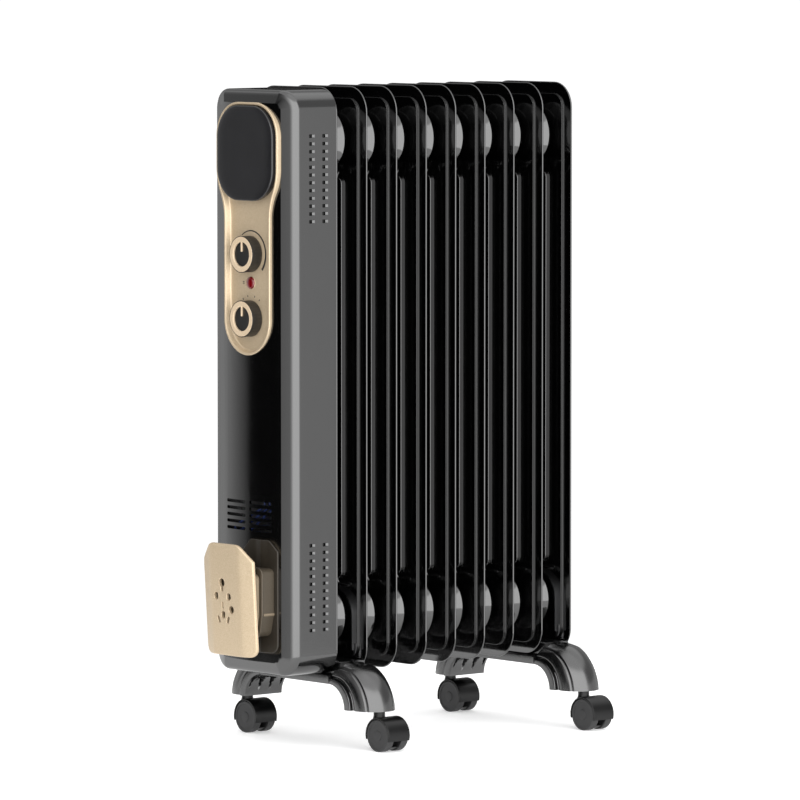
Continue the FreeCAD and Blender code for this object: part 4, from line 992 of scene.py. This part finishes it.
def foot_form(form, side):
    """A foot swept from its underside up to the beam."""
    rings = []
    for i, (a, b) in enumerate(zip(foot_inner, foot_outer)):
        along = b - a
        width = along.length
        way = along / width
        scale = min(1.0, width / FOOT_WIDE)
        half = []
        for edge, distance, y in FOOT_SECTION:
            spot = a + way * distance * scale if edge == "in" else b - way * distance * scale
            half.append((spot, y))
        ring = [(spot, y) for spot, y in half] + [(spot, -y) for spot, y in reversed(half)]
        for k in range(INNER_STEPS + 1):
            y = INNER_HALF * (2 * k / INNER_STEPS - 1)
            ring.append((a + way * flute_depth(y, i / FOOT_STEPS), y))
        rings.append(form.loop([(side * spot.x, y, spot.y) for spot, y in ring]))
    form.skins(rings)
    form.fill(rings[0])
    form.fill(rings[-1])


def beam_form(form):
    """The bar under the fins with its band, and the ridge that stands between two fins."""
    reach = INNER_X - ARCH + 0.5
    band = [(22.0, UNDER), (22.6, UNDER + 0.3), (23.0, UNDER + 1.1), (23.0, 66.6), (22.7, 67.5), (21.9, 68.1),
            (15.6, 68.2), (15.0, 68.8)]
    ridge = [(15.0, 78.0), (14.8, 79.2), (14.2, 80.0), (13.2, RIDGE)]
    half = band + ridge
    section = half + [(-y, z) for y, z in reversed(half)]
    ends = (-reach - 8.0, -reach, reach, reach + 8.0)
    rings = []
    for x in ends:
        rings.append(form.loop([(x if z > 68.5 else math.copysign(min(abs(x), reach), x), y, z)
                                for y, z in section]))
    form.skins(rings)
    form.fill(rings[0])
    form.fill(rings[-1])


for which, place in LEG_PLACES.items():
    leg = Form()
    foot_form(leg, 1)
    foot_form(leg, -1)
    beam_form(leg)
    leg.piece(f"leg_{which}_moulded", "heater", "leg_plastic", replaces=(f"leg_{which}",),
              at=(0.0, place, 0.0), crease=40.0)


# ------------------------------------------------------------------ casters
NECK_HALF = 5.4
CASTER_X = sides("caster_front_right_hood")[0][0] + NECK_HALF
TRAIL, WHEEL, HOOD, ROOM, WIDE = 12.1, 15.2, 17.2, 15.6, 13.0
HOOD_DROP, WEB_HALF, WEB = 4.4, 4.2, 14.0


def around_axle(form, section, start, stop, steps):
    """A section of (radius, y) swept round the axle."""
    rings = []
    for i in range(steps + 1):
        a = math.radians(start + (stop - start) * i / steps)
        rings.append(form.loop([(TRAIL + r * math.cos(a), y, WHEEL + r * math.sin(a)) for r, y in section]))
    form.skins(rings)
    return rings


def hood_piece(name, body, node, at):
    """One caster's hood over both wheels, with its web and neck."""
    form = Form()
    drop = math.degrees(math.asin(HOOD_DROP / HOOD))
    outside = [(16.9, 12.9), (17.05, 12.7), (17.18, 12.1), (HOOD, 10.0)]
    inside = [(ROOM, 10.0), (ROOM, 12.4), (15.75, 12.85), (16.1, WIDE), (16.6, WIDE)]
    half = inside + outside
    section = half + [(r, -y) for r, y in reversed(half)]
    rings = around_axle(form, section, -drop, 180 + drop, 72)
    form.fill(rings[0])
    form.fill(rings[-1])
    web = arc(TRAIL, WHEEL, ROOM + 0.6, -drop, 180 + drop, 40)
    low = math.degrees(math.asin((WHEEL - 4.6) / WEB))
    web += arc(TRAIL, WHEEL, WEB, 180 + drop + 3, 360 - low, 20)
    web += [(TRAIL + 2.0, 4.6), (TRAIL + 2.0, WHEEL - HOOD_DROP)]
    faces = [upright(form, web, y) for y in (-WEB_HALF, WEB_HALF)]
    form.skin(*faces)
    form.fill(faces[0])
    form.fill(faces[1])
    neck = [(7.4, 21.0), (7.2, 25.5), (6.5, 28.5), (5.8, 30.8), (5.45, 32.4), (NECK_HALF, 36.2), (5.1, 36.6),
            (3.5, 36.6)]
    rings = [form.loop([(x, y, z) for x, y in circle(0.0, 0.0, r, 40)]) for r, z in neck]
    form.skins(rings)
    form.fill(rings[0])
    form.piece(name, body, "hood_plastic", replaces=(node,), at=at, crease=42.0)


def wheel_piece(name, body, node, at, side):
    """One wheel; side is -1 for the one nearer the control case."""
    form = Form()
    profile = [(2.1, 4.6), (6.0, 4.6), (6.3, 5.0), (12.9, 5.0), (13.2, 4.5), (14.5, 4.5), (14.95, 4.65),
               (15.15, 5.0), (WHEEL, 5.6), (WHEEL, 11.9), (15.12, 12.35), (14.85, 12.7), (14.3, 12.85),
               (13.2, 12.85), (12.9, 12.7), (12.75, 12.35), (12.4, 12.25), (5.2, 12.25), (4.9, 12.4),
               (4.7, 12.8), (4.3, WIDE), (1.5, WIDE), (0.01, 12.95)]
    rings = [upright(form, circle(TRAIL, WHEEL, r, 72), side * y) for r, y in profile]
    form.cup(rings)
    form.piece(name, body, "wheel_plastic", replaces=(node,), at=at, crease=36.0)


for which, place in LEG_PLACES.items():
    for hand, sign in (("left", -1), ("right", 1)):
        corner = f"{which}_{hand}"
        at = (sign * CASTER_X, place, 0.0)
        hood_piece(f"caster_{corner}_hood_moulded", f"caster_{corner}", f"caster_{corner}_hood", at)
        for wheel, side in (("a", -1), ("b", 1)):
            wheel_piece(f"caster_{corner}_tyre_{wheel}", f"wheel_{corner}_{wheel}",
                        f"caster_{corner}_wheel_{wheel}", at, side)


# ------------------------------------------------------------------ camera, light and floor
def look_from(azimuth, elevation):
    """Unit vector towards the eye; azimuth 0 looks along +Y."""
    a, e = math.radians(azimuth), math.radians(elevation)
    return Vector((math.sin(a) * math.cos(e), -math.cos(a) * math.cos(e), math.sin(e)))


camera_data = bpy.data.cameras.new("camera")
camera_data.lens = 301.86
camera_data.sensor_width = 36.0
camera_data.shift_y = 0.02375
camera_data.clip_end = 60.0
AZIMUTH, ELEVATION, DISTANCE, AIM = 49.663, 4.356, 6.4097, Vector((0.0, 0.0194, 0.300))
camera = bpy.data.objects.new("camera", camera_data)
scene.collection.objects.link(camera)
back = look_from(AZIMUTH, ELEVATION)
camera.rotation_mode = "QUATERNION"
camera.rotation_quaternion = (-back).to_track_quat("-Z", "Y")
camera.location = AIM + back * DISTANCE
scene.camera = camera
scene.view_settings.view_transform = "Standard"


PEAK, BACKDROP = 4.0, 1.05
LOW_EDGE, HIGH_EDGE = (0.22, 0.27), (0.62, 0.76)


def studio():
    """Soft boxes all round as a sky: brightness by compass direction in three bands of height."""
    world = bpy.data.worlds.new("studio")
    world.use_nodes = True
    scene.world = world
    tree = world.node_tree
    tree.nodes.clear()

    def node(kind, **inputs):
        return add_node(tree, kind, inputs)

    way = node("ShaderNodeTexCoord").outputs["Generated"]
    compass = node("ShaderNodeTexGradient", Vector=way)
    compass.gradient_type = "RADIAL"
    height = node("ShaderNodeSeparateXYZ", Vector=way).outputs["Z"]

    def ring_of(stops):
        """A ring of light; each stop is (degrees from +X towards +Y, brightness)."""
        ramp = node("ShaderNodeValToRGB", Fac=compass.outputs["Fac"])
        points = ramp.color_ramp.elements
        while len(points) < len(stops):
            points.new(0.5)
        for point, (angle, level) in zip(points, stops):
            point.position = angle / 360 + 0.5
            value = level / PEAK
            point.color = (value, value, value, 1.0)
        return ramp.outputs["Color"]

    low = ring_of(((-180, 0.75), (-162, 1.05), (-141, 0.24), (-139, 0.01), (-112, 0.01), (-100, 0.8),
                   (-80, 1.6), (-60, 3.4), (-50, 3.7), (18, 3.6), (22, 1.9), (40, 1.15), (80, 1.0),
                   (118, 0.5), (125, 0.01), (156, 0.01), (164, 0.6)))
    centre = ring_of(((-180, 0.75), (-162, 1.05), (-141, 0.3), (-120, 0.2), (-100, 0.9), (-60, 3.4),
                      (-50, 3.7), (18, 3.6), (22, 1.2), (40, 0.55), (90, 0.5), (150, 0.5)))
    high = ring_of(((-180, 1.2), (-110, 1.4), (-50, 1.9), (20, 1.9), (60, 1.5), (120, 1.4), (170, 1.2)))

    def step(value, start, stop):
        made = node("ShaderNodeMapRange", Value=value, From_Min=start, From_Max=stop)
        made.interpolation_type = "SMOOTHSTEP"
        return made.outputs["Result"]

    def blend(factor, a, b):
        made = node("ShaderNodeMix")
        made.data_type = "RGBA"        # its colour inputs A and B are sockets 6 and 7
        tree.links.new(factor, made.inputs["Factor"])
        tree.links.new(a, made.inputs[6])
        tree.links.new(b, made.inputs[7])
        return made.outputs[2]

    around = blend(step(height, *LOW_EDGE), low, centre)
    around = blend(step(height, *HIGH_EDGE), around, high)
    lit = node("ShaderNodeBackground", Color=around, Strength=PEAK)
    seen = node("ShaderNodeBackground", Color=(1.0, 1.0, 1.0, 1.0), Strength=BACKDROP)
    eye = node("ShaderNodeLightPath").outputs["Is Camera Ray"]
    mixed = node("ShaderNodeMixShader")
    tree.links.new(eye, mixed.inputs[0])
    tree.links.new(lit.outputs["Background"], mixed.inputs[1])
    tree.links.new(seen.outputs["Background"], mixed.inputs[2])
    out = node("ShaderNodeOutputWorld")
    tree.links.new(mixed.outputs["Shader"], out.inputs["Surface"])


studio()

FLOOR_RADII = (60, 160, 300, 480, 700)
floor_form = Form()
floor_rings = [floor_form.loop([(x, y, 0.0) for x, y in circle(0.0, 0.0, r, 96)]) for r in FLOOR_RADII]
floor_form.skins(floor_rings)
floor_form.fill(floor_rings[0])
floor_data = bpy.data.meshes.new("floor")
bmesh.ops.recalc_face_normals(floor_form.bm, faces=floor_form.bm.faces)
bmesh.ops.scale(floor_form.bm, vec=(MM, MM, MM), verts=floor_form.bm.verts)
floor_form.bm.to_mesh(floor_data)
floor_form.bm.free()
floor_data.materials.append(pale_floor())
floor = bpy.data.objects.new("floor", floor_data)
scene.collection.objects.link(floor)

# ------------------------------------------------------------------ CAD nodes that stay, and their finishes
FINISHES = {
    "nylon": ("lamp_body", "thermostat_body", "selector_body", "tilt_switch", "terminal_block"),
    "wire_cover": ("wiring",),
    "gland_rubber": ("cord_gland",),
}
finish_of = {node: finish for finish, members in FINISHES.items() for node in members}
for node, shown in NODES.items():
    if shown.hide_render:
        continue
    shown.data.materials.clear()
    shown.data.materials.append(MATERIALS[finish_of.get(node, "steel")])
